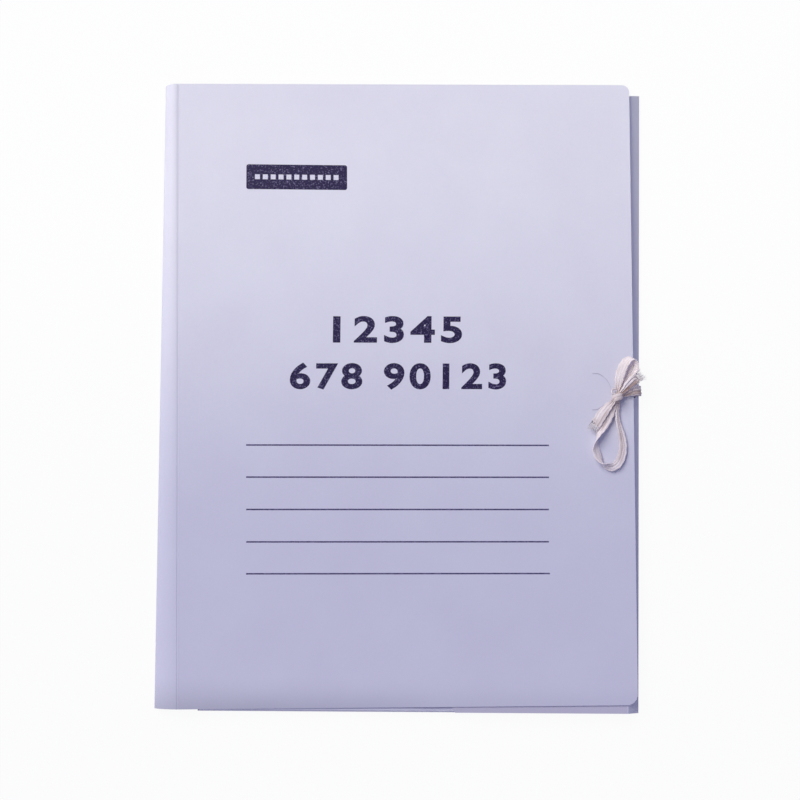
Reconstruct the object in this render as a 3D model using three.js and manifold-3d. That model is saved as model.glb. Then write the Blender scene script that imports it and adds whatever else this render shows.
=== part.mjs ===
import * as THREE from "three";
import { mergeVertices } from "three/addons/utils/BufferGeometryUtils.js";
import Module from "manifold-3d";

const wasm = await Module();
wasm.setup();

// A string tie folder, lying closed on its back cover. Millimetres.
// While it is drawn, X runs from the spine fold to the fore edge, Y from the bottom fold to the
// top edge and Z up from the table. The whole folder is centred over its origin at the end.

// The card blank
const CARD = 0.5; // thickness of the coated card
const CREASE_GAP = 0.6; // a panel starts this far from the crease that carries it
const BACK = { width: 243.4, bottom: 0.3, top: 315.7 };
const RELIEF = { depth: 1.1, width: 20.5, ramp: 1 }; // the back is cut shorter at its four corners
const COVER = { width: 230, height: 315, corner: 5.5, topCorner: 3.8 };
const SKEW = THREE.MathUtils.degToRad(0.916); // the cover lies turned a little against the back
const CREASE_FOOT = new THREE.Vector2(11.9, 1.3); // lower end of the crease along the cover

// Heights of the cover's middle surface at its corners, and how it curls and crowns
const COVER_LEVEL = { creaseBottom: 6.6, creaseTop: 8.6, edgeBottom: 7.5, edgeTop: 7.8 };
const CURL = { drop: 0.3, reach: 14, fade: 38 };
const CROWN = 0.5;

// The spine's cross-section: middle control points at its bottom end and its top end
const SPINE_BOTTOM = { rise: [0.9, 4.4], roll: [7.6, 6.3] };
const SPINE_TOP = { rise: [-0.1, 7.6], roll: [3.6, 9.3] };
const SPINE_SHARE = { rise: 0.3, roll: 0.7 }; // how far each lies from the fold's end to the crease's

// Gussets and flaps
const SIDE = { lean: 137, gusset: 8.5, flap: 95, chamfer: 8, rise: 1.65, mitre: 0.75 };
// Where the side gusset ends past the back's bottom and short of its top, and how much it tapers
const SIDE_ENDS = { bottom: { gap: 0.1, taper: 0.15 }, top: { gap: -0.45, taper: 1.4 } };
const SHORT = { lean: 78, gusset: 5.15, flap: 65, inset: 21.5, slant: 0.25, corner: 6 };

// Where the ties go through the card
const SLIT = { length: 5.6, width: 1.1, cutter: 4 };
const FRONT_SLIT = { fromEdge: 8.4, height: 154.7 };
const BACK_SLIT = { fromFold: 3.6, y: 162.7 };
const GLUE = 0.12;
const PATCH = { width: 24, thickness: 0.15, margin: 5 };
const TIE_END = { length: 17, width: 5, thickness: 0.5 };

// The tape of the ties
const TAPE = { thickness: 0.9, sides: 8, step: 3, upright: 0.3 };
const KNOT = { centre: [230.6, 159.4, 11.6], length: 4.8, radius: 2.4, end: 0.6, groove: 0.8, turn: 92 };
const WRAP = { angle: 80, steps: 4, sides: 14 }; // one of the knot's two wraps

// The routes of the ties. A row is a point of the middle of the tape, its tilt in degrees, 0 where
// the tape lies flat and 90 where it stands on edge, and its width, drawn in at the knot.
const FRONT_LEAD = [
  [231.0, 159.5, 7.75, 0, 5.0], [231.0, 159.5, 8.3, 0, 4.2], [231.0, 159.5, 8.8, 0, 3.2],
];
const FRONT_LOOP = [
  [228.9, 155.6, 10.9, 30, 2.0], [227.6, 153.1, 10.6, 35, 3.2], [226.2, 150.3, 10.5, 42, 4.2],
  [224.8, 147.4, 10.5, 55, 4.6], [223.2, 144.2, 10.8, 80, 4.8], [221.2, 140.9, 10.9, 108, 4.8],
  [220.1, 137.1, 10.6, 130, 4.8], [219.7, 133.3, 10.5, 138, 5.0], [220.7, 129.5, 10.6, 128, 5.0],
  [222.6, 126.5, 10.9, 98, 5.0], [225.3, 124.6, 10.6, 52, 5.0], [228.5, 124.1, 10.2, 32, 5.0],
  [231.6, 126.2, 9.9, 24, 5.0], [233.4, 130.0, 9.7, 20, 4.8], [234.1, 134.6, 9.6, 20, 4.6],
  [233.6, 139.1, 9.6, 24, 4.2], [232.4, 143.4, 9.7, 30, 3.6], [231.3, 147.4, 9.8, 40, 3.0],
  [230.9, 151.2, 9.8, 40, 2.4], [231.2, 154.6, 9.9, 35, 2.0],
];
const FRONT_TAIL = [
  [227.9, 156.5, 12.9, 15, 2.4], [225.3, 153.9, 13.3, 12, 3.6], [222.6, 150.6, 13.5, 10, 4.2],
  [220.4, 146.8, 13.5, 6, 4.6],
];
const BACK_LEAD = [
  [240.77, 162.7, 2.7, 0, 5.0], [242.3, 162.8, 4.4, 0, 5.0], [243.2, 163.0, 6.6, 0, 5.0],
  [242.2, 163.1, 8.8, 0, 5.0], [239.3, 162.6, 9.7, 0, 4.6], [236.7, 161.6, 9.8, 0, 3.6],
  [234.6, 160.7, 10.2, 0, 2.4],
];
const BACK_LOOP = [
  [230.9, 163.4, 11.2, -5, 2.4], [231.1, 166.2, 11.3, -5, 3.8], [231.7, 169.8, 11.3, -5, 4.6],
  [232.9, 174.4, 11.2, -10, 4.7], [234.7, 177.6, 11.0, -28, 4.6], [237.2, 179.1, 10.9, -45, 4.4],
  [239.4, 178.5, 10.7, -48, 4.2], [240.5, 176.3, 10.6, -48, 4.0], [240.3, 173.6, 10.4, -50, 3.6],
  [238.9, 170.9, 10.2, -55, 3.2], [236.8, 168.5, 10.2, -58, 2.8], [234.9, 166.2, 10.1, -58, 2.4],
  [233.4, 164.2, 10.1, -50, 2.0],
];
const BACK_TAIL = [
  [233.5, 162.7, 13.0, 20, 2.4], [235.4, 164.9, 13.2, 18, 3.8], [238.0, 167.4, 13.2, 15, 4.8],
  [240.9, 169.7, 12.9, 10, 5.0],
];

// How finely the curved panels are divided
const FINENESS = { corner: 5, coverAcross: 12, coverUp: 20, spineAround: 10, spineUp: 8, glued: 3 };

const card = { color: 0xd9d7ea, roughness: 0.62, metalness: 0 };
const cardInside = { color: 0xcfcbdd, roughness: 0.75, metalness: 0 };
const cotton = { color: 0xe9dfe2, roughness: 0.95, metalness: 0 };
const paper = { color: 0xe4e2ec, roughness: 0.85, metalness: 0 };

const radians = THREE.MathUtils.degToRad;
const mix = THREE.MathUtils.lerp;

function mesh(name, geometry, finish) {
  const made = new THREE.Mesh(geometry, new THREE.MeshStandardMaterial(finish));
  made.name = name;
  return made;
}

function closedGeometry(positions, triangles) {
  const geometry = new THREE.BufferGeometry();
  geometry.setAttribute("position", new THREE.Float32BufferAttribute(positions, 3));
  geometry.setIndex(triangles);
  geometry.computeVertexNormals();
  return geometry;
}

// A panel of card. Its middle surface is place(a, b): a runs away from the crease that carries the
// panel, through the stations, and b runs across from edges(a)[0] to edges(a)[1]. The mitre cuts
// the first edge back on the side that the turn from a to b faces.
function panelGeometry({ stations, edges, divisions, place, mitre = 0, thickness = CARD }) {
  const rows = stations.length;
  const columns = divisions + 1;
  const positions = [];
  const nudge = 0.01;
  for (const side of [1, -1]) {
    stations.forEach((station, row) => {
      const a = row === 0 && side > 0 ? station + mitre : station;
      const [low, high] = edges(station);
      for (let column = 0; column < columns; column++) {
        const b = mix(low, high, column / divisions);
        const middle = place(a, b);
        const along = place(a + nudge, b).sub(middle);
        const across = place(a, b + nudge).sub(middle);
        const normal = along.cross(across).normalize();
        positions.push(...middle.addScaledVector(normal, (side * thickness) / 2).toArray());
      }
    });
  }
  const upper = (row, column) => row * columns + column;
  const lower = (row, column) => rows * columns + upper(row, column);
  const triangles = [];
  const quad = (p, q, r, s) => triangles.push(p, q, r, p, r, s);
  for (let row = 0; row + 1 < rows; row++) {
    for (let column = 0; column + 1 < columns; column++) {
      quad(upper(row, column), upper(row + 1, column), upper(row + 1, column + 1),
        upper(row, column + 1));
      quad(lower(row, column), lower(row, column + 1), lower(row + 1, column + 1),
        lower(row + 1, column));
    }
    quad(upper(row, 0), lower(row, 0), lower(row + 1, 0), upper(row + 1, 0));
    const last = columns - 1;
    quad(upper(row, last), upper(row + 1, last), lower(row + 1, last), lower(row, last));
  }
  for (let column = 0; column + 1 < columns; column++) {
    quad(upper(0, column), upper(0, column + 1), lower(0, column + 1), lower(0, column));
    const last = rows - 1;
    quad(upper(last, column), lower(last, column), lower(last, column + 1),
      upper(last, column + 1));
  }
  return closedGeometry(positions, triangles);
}

function solidOf(geometry) {
  const bare = geometry.clone();
  bare.deleteAttribute("normal");
  bare.deleteAttribute("uv");
  const merged = mergeVertices(bare, 1e-4);
  return new wasm.Manifold(new wasm.Mesh({
    numProp: 3,
    vertProperties: Float32Array.from(merged.attributes.position.array),
    triVerts: Uint32Array.from(merged.index.array),
  }));
}

// The slit that a tie goes through: a box across the card, centred on a point of it.
function cutSlit(geometry, centre, normalTurn) {
  const slit = new THREE.BoxGeometry(SLIT.width, SLIT.length, SLIT.cutter);
  slit.rotateY(normalTurn);
  slit.translate(centre.x, centre.y, centre.z);
  const cut = solidOf(geometry).subtract(solidOf(slit)).getMesh();
  return closedGeometry(cut.vertProperties, Array.from(cut.triVerts));
}

function spread(from, to, count) {
  return Array.from({ length: count + 1 }, (_, index) => mix(from, to, index / count));
}

// Stations that close up towards a rounded corner of that radius at the far end
function roundedStations(from, to, count, radius) {
  const arc = spread(0, 90, FINENESS.corner)
    .map((angle) => to - radius + radius * Math.sin(radians(angle)));
  return [...spread(from, to - radius, count).slice(0, -1), ...arc];
}

// How far a rounded corner draws an edge in at a station
function roundedInset(a, end, radius) {
  const over = Math.max(0, a - (end - radius));
  return radius - Math.sqrt(Math.max(0, radius * radius - over * over));
}

// Back cover
const reliefEnds = [
  RELIEF.width,
  RELIEF.width + RELIEF.ramp,
  BACK.width - RELIEF.width - RELIEF.ramp,
  BACK.width - RELIEF.width,
];

function backGeometry() {
  return panelGeometry({
    stations: [0, ...reliefEnds, BACK.width],
    edges: (a) => {
      const inset = a > reliefEnds[0] && a < reliefEnds[3] ? 0 : RELIEF.depth;
      return [BACK.bottom + inset, BACK.top - inset];
    },
    divisions: 1,
    place: (a, b) => new THREE.Vector3(a, b, CARD / 2),
  });
}

// Front cover: a runs from its crease to the fore edge, b up its height
function coverPoint(a, b) {
  const u = a / COVER.width;
  const v = b / COVER.height;
  const left = mix(COVER_LEVEL.creaseBottom, COVER_LEVEL.creaseTop, v);
  const right = mix(COVER_LEVEL.edgeBottom, COVER_LEVEL.edgeTop, v);
  const near = Math.min(1, Math.max(0, 1 - b / CURL.reach));
  const curl = CURL.drop * near * near * Math.min(1, Math.max(0, a / CURL.fade));
  const crown = CROWN * Math.sin(Math.PI * u) * Math.sin(Math.PI * v);
  return new THREE.Vector3(
    CREASE_FOOT.x + a * Math.cos(SKEW) - b * Math.sin(SKEW),
    CREASE_FOOT.y + a * Math.sin(SKEW) + b * Math.cos(SKEW),
    mix(left, right, u) + crown - curl,
  );
}

function coverGeometry() {
  const inset = (a, radius) => roundedInset(a, COVER.width, radius);
  const whole = panelGeometry({
    stations: roundedStations(CREASE_GAP, COVER.width, FINENESS.coverAcross, COVER.corner),
    edges: (a) => [inset(a, COVER.corner), COVER.height - inset(a, COVER.topCorner)],
    divisions: FINENESS.coverUp,
    place: coverPoint,
  });
  const slit = coverPoint(COVER.width - FRONT_SLIT.fromEdge, FRONT_SLIT.height);
  return cutSlit(whole, slit, 0);
}

// Spine panel: a goes from 0 at the spine fold to 1 at the cover's crease, b from 0 to 1 upwards
function spinePoint(a, b) {
  const fold = new THREE.Vector3(0, mix(CREASE_FOOT.y, BACK.top, b), CARD / 2);
  const crease = coverPoint(0, b * COVER.height);
  const control = (which) => new THREE.Vector3(
    mix(SPINE_BOTTOM[which][0], SPINE_TOP[which][0], b),
    mix(fold.y, crease.y, SPINE_SHARE[which]),
    mix(SPINE_BOTTOM[which][1], SPINE_TOP[which][1], b),
  );
  const section = new THREE.CubicBezierCurve3(fold, control("rise"), control("roll"), crease);
  const start = CREASE_GAP / (3 * fold.distanceTo(section.v1));
  return section.getPoint(mix(start, 1, a));
}

function spineGeometry() {
  return panelGeometry({
    stations: spread(0, 1, FINENESS.spineAround),
    edges: () => [0, 1],
    divisions: FINENESS.spineUp,
    place: spinePoint,
  });
}

// Side gusset and side flap, carried by the fore edge fold of the back
const sideLean = radians(SIDE.lean);
const sideCrease = new THREE.Vector2(
  BACK.width + SIDE.gusset * Math.cos(sideLean),
  CARD / 2 + SIDE.gusset * Math.sin(sideLean),
);

function sideGussetPoint(a, b) {
  return new THREE.Vector3(
    BACK.width + a * Math.cos(sideLean),
    b,
    CARD / 2 + a * Math.sin(sideLean),
  );
}

// Both ends of the side gusset along Y. share is 0 at its fold and 1 at its crease with the flap.
function sideEdges(share) {
  const inset = ({ gap, taper }) => gap + taper * share;
  return [BACK.bottom + inset(SIDE_ENDS.bottom), BACK.top - inset(SIDE_ENDS.top)];
}

function sideGussetGeometry() {
  const whole = panelGeometry({
    stations: [CREASE_GAP, SIDE.gusset],
    edges: (a) => sideEdges(a / SIDE.gusset),
    divisions: 1,
    place: sideGussetPoint,
    mitre: SIDE.mitre,
  });
  const slit = sideGussetPoint(BACK_SLIT.fromFold, BACK_SLIT.y);
  return cutSlit(whole, slit, Math.PI - sideLean);
}

function sideFlapPoint(a, b) {
  return new THREE.Vector3(sideCrease.x - a, b, sideCrease.y);
}

function sideFlapGeometry() {
  const straight = SIDE.flap - SIDE.chamfer;
  const [bottom, top] = sideEdges(1);
  const cut = (a) => SIDE.rise * Math.max(0, a - straight);
  return panelGeometry({
    stations: [CREASE_GAP, straight, SIDE.flap],
    edges: (a) => [bottom + cut(a), top - cut(a)],
    divisions: 1,
    place: sideFlapPoint,
  });
}

// A short gusset and its flap. inward is 1 at the bottom end of the folder and -1 at its top end.
const shortLean = radians(SHORT.lean);
const shortWidth = SHORT.gusset + SHORT.flap;

function shortEdges(distance) {
  const inset = SHORT.slant * distance + roundedInset(distance, shortWidth, SHORT.corner);
  return [SHORT.inset + inset, BACK.width - SHORT.inset - inset];
}

function shortFold(inward) {
  return inward > 0 ? BACK.bottom : BACK.top;
}

function shortGussetGeometry(inward) {
  return panelGeometry({
    stations: [CREASE_GAP, SHORT.gusset],
    edges: shortEdges,
    divisions: 1,
    place: (a, b) => new THREE.Vector3(
      b,
      shortFold(inward) + inward * a * Math.cos(shortLean),
      CARD / 2 + a * Math.sin(shortLean),
    ),
  });
}

function shortFlapGeometry(inward) {
  const crease = shortFold(inward) + inward * SHORT.gusset * Math.cos(shortLean);
  const level = CARD / 2 + SHORT.gusset * Math.sin(shortLean);
  return panelGeometry({
    stations: roundedStations(CREASE_GAP, SHORT.flap, 1, SHORT.corner),
    edges: (a) => shortEdges(SHORT.gusset + a),
    divisions: 1,
    place: (a, b) => new THREE.Vector3(b, crease + inward * a, level),
  });
}

// Something flat glued under a panel: a strip of the panel's own surface, lowered by its depth
function gluedUnder(place, [from, to], [low, high], depth, thickness) {
  return panelGeometry({
    stations: spread(from, to, FINENESS.glued),
    edges: () => [low, high],
    divisions: FINENESS.glued,
    place: (a, b) => place(a, b).add(new THREE.Vector3(0, 0, -depth - thickness / 2)),
    thickness,
  });
}

// The inner end of a tie runs away from its slit along the panel, and a patch is glued over it.
// away is the direction of the run in the panel's own a, and before is how far the patch reaches
// back past the slit.
function tieAnchor(name, place, slitA, slitB, away, before) {
  const along = (from, to) => (away > 0 ? [slitA + from, slitA + to] : [slitA - to, slitA - from]);
  const across = (width) => [slitB - width / 2, slitB + width / 2];
  const endDepth = CARD / 2 + GLUE;
  const patchDepth = endDepth + TIE_END.thickness + GLUE;
  const end = gluedUnder(
    place, along(0, TIE_END.length), across(TIE_END.width), endDepth, TIE_END.thickness);
  const patchRun = along(-before, TIE_END.length + PATCH.margin);
  const patch = gluedUnder(place, patchRun, across(PATCH.width), patchDepth, PATCH.thickness);
  return [mesh(`${name}_end`, end, cotton), mesh(`${name}_patch`, patch, paper)];
}

// A stretch of tape: an eight-sided flat tube along a route
function tapeGeometry(route) {
  const curve = new THREE.CatmullRomCurve3(
    route.map(([x, y, z]) => new THREE.Vector3(x, y, z)), false, "centripetal");
  const steps = Math.max(3, Math.ceil(curve.getLength() / TAPE.step));
  const positions = [];
  let previous = null;
  for (let step = 0; step <= steps; step++) {
    const t = curve.getUtoTmapping(step / steps);
    const centre = curve.getPoint(t);
    const tangent = curve.getTangent(t).normalize();
    const [tilt, width] = routeValues(route, t);
    const across = acrossTape(tangent, tilt);
    if (previous && across.dot(previous) < 0) across.negate();
    previous = across;
    const face = tangent.clone().cross(across).normalize();
    for (let side = 0; side < TAPE.sides; side++) {
      const angle = ((side + 0.5) / TAPE.sides) * 2 * Math.PI;
      const point = centre.clone()
        .addScaledVector(across, (Math.cos(angle) * width) / 2)
        .addScaledVector(face, (Math.sin(angle) * TAPE.thickness) / 2);
      positions.push(...point.toArray());
    }
  }
  return closedGeometry(positions, tubeTriangles(steps, TAPE.sides));
}

function routeValues(route, t) {
  const place = t * (route.length - 1);
  const index = Math.min(route.length - 2, Math.floor(place));
  return [3, 4].map((key) => mix(route[index][key], route[index + 1][key], place - index));
}

// The direction across the tape: level with the table, or up the folder where the tape stands
// upright, then turned about the tape by the tilt
function acrossTape(tangent, tilt) {
  const across = new THREE.Vector3(-tangent.y, tangent.x, 0);
  if (across.length() < TAPE.upright) across.set(0, 1, 0);
  return across.normalize().applyAxisAngle(tangent, radians(tilt));
}

function tubeTriangles(steps, sides) {
  const triangles = [];
  for (let step = 0; step < steps; step++) {
    for (let side = 0; side < sides; side++) {
      const next = (side + 1) % sides;
      const [p, q] = [step * sides + side, step * sides + next];
      triangles.push(p, q, q + sides, p, q + sides, p + sides);
    }
  }
  const end = steps * sides;
  for (let side = 1; side + 1 < sides; side++) {
    triangles.push(0, side + 1, side);
    triangles.push(end, end + side, end + side + 1);
  }
  return triangles;
}

// The knot: two wraps of tape drawn tight, as a barrel with a groove between them
function knotGeometry() {
  const half = KNOT.length / 2;
  const profile = [[0, -half], [KNOT.end, -half]];
  for (const wrap of [-1, 1]) {
    for (const angle of spread(-WRAP.angle, WRAP.angle, WRAP.steps)) {
      const radius = KNOT.radius - KNOT.groove * (1 - Math.cos(radians(angle)));
      profile.push([radius, (wrap * half) / 2 + (half / 2) * Math.sin(radians(angle))]);
    }
  }
  profile.push([KNOT.end, half], [0, half]);
  const outline = profile.map(([x, y]) => new THREE.Vector2(x, y));
  const barrel = new THREE.LatheGeometry(outline, WRAP.sides);
  barrel.rotateZ(radians(KNOT.turn - 90));
  barrel.translate(...KNOT.centre);
  return barrel;
}

function cardPanels() {
  return [
    mesh("back_cover", backGeometry(), card),
    mesh("spine_panel", spineGeometry(), card),
    mesh("front_cover", coverGeometry(), card),
    mesh("side_gusset", sideGussetGeometry(), card),
    mesh("side_flap", sideFlapGeometry(), cardInside),
    mesh("bottom_gusset", shortGussetGeometry(1), card),
    mesh("bottom_flap", shortFlapGeometry(1), cardInside),
    mesh("top_gusset", shortGussetGeometry(-1), card),
    mesh("top_flap", shortFlapGeometry(-1), cardInside),
  ];
}

function anchors() {
  const frontSlit = COVER.width - FRONT_SLIT.fromEdge;
  return [
    ...tieAnchor("front_tie", coverPoint, frontSlit, FRONT_SLIT.height, -1, PATCH.margin),
    ...tieAnchor("back_tie", sideFlapPoint, CREASE_GAP, BACK_SLIT.y, 1, 0),
  ];
}

function bow() {
  return [
    mesh("front_tie_lead", tapeGeometry(FRONT_LEAD), cotton),
    mesh("front_tie_loop", tapeGeometry(FRONT_LOOP), cotton),
    mesh("front_tie_tail", tapeGeometry(FRONT_TAIL), cotton),
    mesh("back_tie_lead", tapeGeometry(BACK_LEAD), cotton),
    mesh("back_tie_loop", tapeGeometry(BACK_LOOP), cotton),
    mesh("back_tie_tail", tapeGeometry(BACK_TAIL), cotton),
    mesh("bow_knot", knotGeometry(), cotton),
  ];
}

// The card and what is glued to it are centred over the origin, and the bow goes along with them
const body = new THREE.Group().add(...cardPanels(), ...anchors());
const middle = new THREE.Box3().setFromObject(body, true).getCenter(new THREE.Vector3());
const folder = new THREE.Group().add(body, ...bow());
folder.position.set(-middle.x, -middle.y, 0);

export default folder;
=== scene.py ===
"""A string tie folder: one creased card blank, tied at its fore edge with two cotton tapes."""

import logging
import math
import random
from dataclasses import dataclass, replace
from enum import Enum
from typing import Callable, Sequence

import bpy
from mathutils import Matrix, Vector


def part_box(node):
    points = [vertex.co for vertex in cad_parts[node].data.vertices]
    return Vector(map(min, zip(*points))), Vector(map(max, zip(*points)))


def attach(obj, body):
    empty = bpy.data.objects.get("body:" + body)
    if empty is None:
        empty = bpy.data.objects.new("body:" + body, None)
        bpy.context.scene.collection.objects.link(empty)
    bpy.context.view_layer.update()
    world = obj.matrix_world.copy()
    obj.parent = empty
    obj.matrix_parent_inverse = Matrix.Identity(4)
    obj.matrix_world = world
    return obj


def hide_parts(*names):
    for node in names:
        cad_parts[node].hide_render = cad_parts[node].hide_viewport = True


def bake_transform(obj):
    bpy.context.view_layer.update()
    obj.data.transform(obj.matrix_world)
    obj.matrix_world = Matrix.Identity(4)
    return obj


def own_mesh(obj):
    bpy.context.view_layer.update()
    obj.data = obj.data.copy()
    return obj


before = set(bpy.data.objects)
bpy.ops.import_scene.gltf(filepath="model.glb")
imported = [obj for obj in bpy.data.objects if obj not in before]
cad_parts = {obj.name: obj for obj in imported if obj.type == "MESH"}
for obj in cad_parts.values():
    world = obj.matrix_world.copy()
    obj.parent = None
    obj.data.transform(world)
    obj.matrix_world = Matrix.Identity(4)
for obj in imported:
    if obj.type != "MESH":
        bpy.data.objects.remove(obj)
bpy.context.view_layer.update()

MM = 0.001
TAPE_WIDTH = 5.0  # millimetres
log = logging.getLogger("string_tie_folder")

Place = Callable[[float, float], Vector]
Line = Callable[[float], Vector]
Point = tuple[float, float, float]
Pair = tuple[float, float]
Row = tuple[float, float, float, float, float]  # a tape's place, its tilt in degrees and its width
Worn = tuple[float, float, float]  # a worn stretch's start and end along a tape, and where its stripe of painted brownish shade lies across it
Colour = tuple[float, float, float, float]


class Body(Enum):
    """The rigid bodies that the pieces ride on."""

    BACK = "back"
    SPINE = "spine"
    COVER = "cover"
    SIDE_WALL = "side_wall"
    SIDE_LEAF = "side_leaf"
    BOTTOM_WALL = "bottom_wall"
    BOTTOM_LEAF = "bottom_leaf"
    TOP_WALL = "top_wall"
    TOP_LEAF = "top_leaf"


class Slot(Enum):
    """The record's material slots."""

    COATED_CARD = "coated_card"
    COTTON_TAPE = "cotton_tape"
    PAPER_PATCH = "paper_patch"


# Small helpers


def mix(low: float, high: float, share: float) -> float:
    """Returns the value a share of the way from low to high."""
    return low + (high - low) * share


def clamp(value: float) -> float:
    """Keeps a value between 0 and 1."""
    return min(1.0, max(0.0, value))


def spread(low: float, high: float, count: int) -> list[float]:
    """Returns count + 1 evenly spaced values from low to high."""
    return [mix(low, high, index / count) for index in range(count + 1)]


def smooth(low: float, high: float, value: float) -> float:
    """Returns 0 below low, 1 above high and an even curve between them."""
    share = clamp((value - low) / (high - low))
    return share * share * (3 - 2 * share)


def rounded(start: Vector, corner: Vector, stop: Vector, t: float) -> Vector:
    """Returns a point of the bend from start to stop, where t runs from 0 to 1."""
    return start * (1 - t) ** 2 + corner * (2 * t * (1 - t)) + stop * t * t


def corner_inset(a: float, end: float, radius: float) -> float:
    """Returns how far a rounded corner at an edge's end draws that edge in at a station."""
    over = max(0.0, a - (end - radius))
    return radius - math.sqrt(max(0.0, radius * radius - over * over))


def path_length(points: Sequence[Vector]) -> float:
    """Returns the length of a line."""
    return sum((after - before).length for before, after in zip(points, points[1:]))


def heading(points: Sequence[Vector], index: int) -> Vector:
    """Returns the direction of a line at one of its points."""
    return (points[min(index + 1, len(points) - 1)] - points[max(index - 1, 0)]).normalized()


def linear(hex_colour: int) -> Colour:
    """Turns an sRGB hex colour into Blender's linear colour.

    Args:
        hex_colour: The colour as 0xRRGGBB.

    Returns:
        Red, green, blue and an alpha of 1.
    """
    channels = [((hex_colour >> shift) & 255) / 255 for shift in (16, 8, 0)]
    low, power = 0.04045, 2.4
    turned = [c / 12.92 if c <= low else ((c + 0.055) / 1.055) ** power for c in channels]
    return (*turned, 1.0)


def deselect() -> None:
    """Leaves nothing selected, so that an operator acts on its own piece alone."""
    bpy.ops.object.select_all(action="DESELECT")


def activate(piece: bpy.types.Object) -> None:
    """Makes a piece the only selected and the active one."""
    deselect()
    piece.select_set(True)
    bpy.context.view_layer.objects.active = piece


def apply_modifiers(piece: bpy.types.Object) -> None:
    """Applies every modifier of a piece in order."""
    activate(piece)
    for modifier in list(piece.modifiers):
        bpy.ops.object.modifier_apply(modifier=modifier.name)


def smooth_by_angle(piece: bpy.types.Object, degrees: float = 40.0) -> None:
    """Shades a piece smooth and keeps the edges that are sharper than the angle."""
    activate(piece)
    bpy.ops.object.shade_smooth_by_angle(angle=math.radians(degrees))


def thicken(piece: bpy.types.Object, thickness: float, **settings: int) -> None:
    """Gives a sheet its thickness, half of it to each side.

    Args:
        piece: The sheet, a single surface.
        thickness: Its thickness in millimetres.
        settings: Further settings of the modifier, by name.
    """
    solid = piece.modifiers.new("thickness", "SOLIDIFY")
    solid.thickness = thickness * MM
    solid.offset = 0.0
    for key, value in settings.items():
        setattr(solid, key, value)
    apply_modifiers(piece)


# Finishes


def add_node(tree: bpy.types.NodeTree, kind: str, settings: dict | None = None,
             inputs: dict | None = None) -> bpy.types.Node:
    """Adds a node with its settings and its inputs.

    Args:
        tree: The material's or world's node tree.
        kind: The node's type, such as ShaderNodeTexNoise.
        settings: Properties of the node.
        inputs: Input names or numbers, each with a value or with the socket that feeds it.

    Returns:
        The new node.
    """
    node = tree.nodes.new(kind)
    for key, value in (settings or {}).items():
        setattr(node, key, value)
    for key, value in (inputs or {}).items():
        if isinstance(value, bpy.types.NodeSocket):
            tree.links.new(value, node.inputs[key])
        else:
            node.inputs[key].default_value = value
    return node


def ramp(tree: bpy.types.NodeTree, factor: bpy.types.NodeSocket,
         stops: Sequence[tuple[float, Colour]]) -> bpy.types.NodeSocket:
    """Adds a colour ramp.

    Args:
        tree: The node tree.
        factor: What runs along the ramp.
        stops: Two or more places from 0 to 1, each with its colour.

    Returns:
        The ramp's colour output.
    """
    node = add_node(tree, "ShaderNodeValToRGB", inputs={"Fac": factor})
    elements = node.color_ramp.elements
    while len(elements) < len(stops):
        elements.new(1.0)
    for element, (place, colour) in zip(elements, stops):
        element.position = place
        element.color = colour
    return node.outputs["Color"]


def per_metre(size_mm: float) -> float:
    """Returns the scale of a noise whose spots are about that size."""
    return 1 / (size_mm * MM)


def start_material(name: str, roughness: float, specular: float) -> tuple[
        bpy.types.Material, bpy.types.NodeTree, bpy.types.Node]:
    """Makes a material with the plain values of its surface.

    Args:
        name: What the real material is.
        roughness: How matt it is.
        specular: How strongly it reflects.

    Returns:
        The material, its nodes and its shader.
    """
    made = bpy.data.materials.new(name)
    made.use_nodes = True
    shader = made.node_tree.nodes["Principled BSDF"]
    shader.inputs["Roughness"].default_value = roughness
    shader.inputs["Specular IOR Level"].default_value = specular
    return made, made.node_tree, shader


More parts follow.
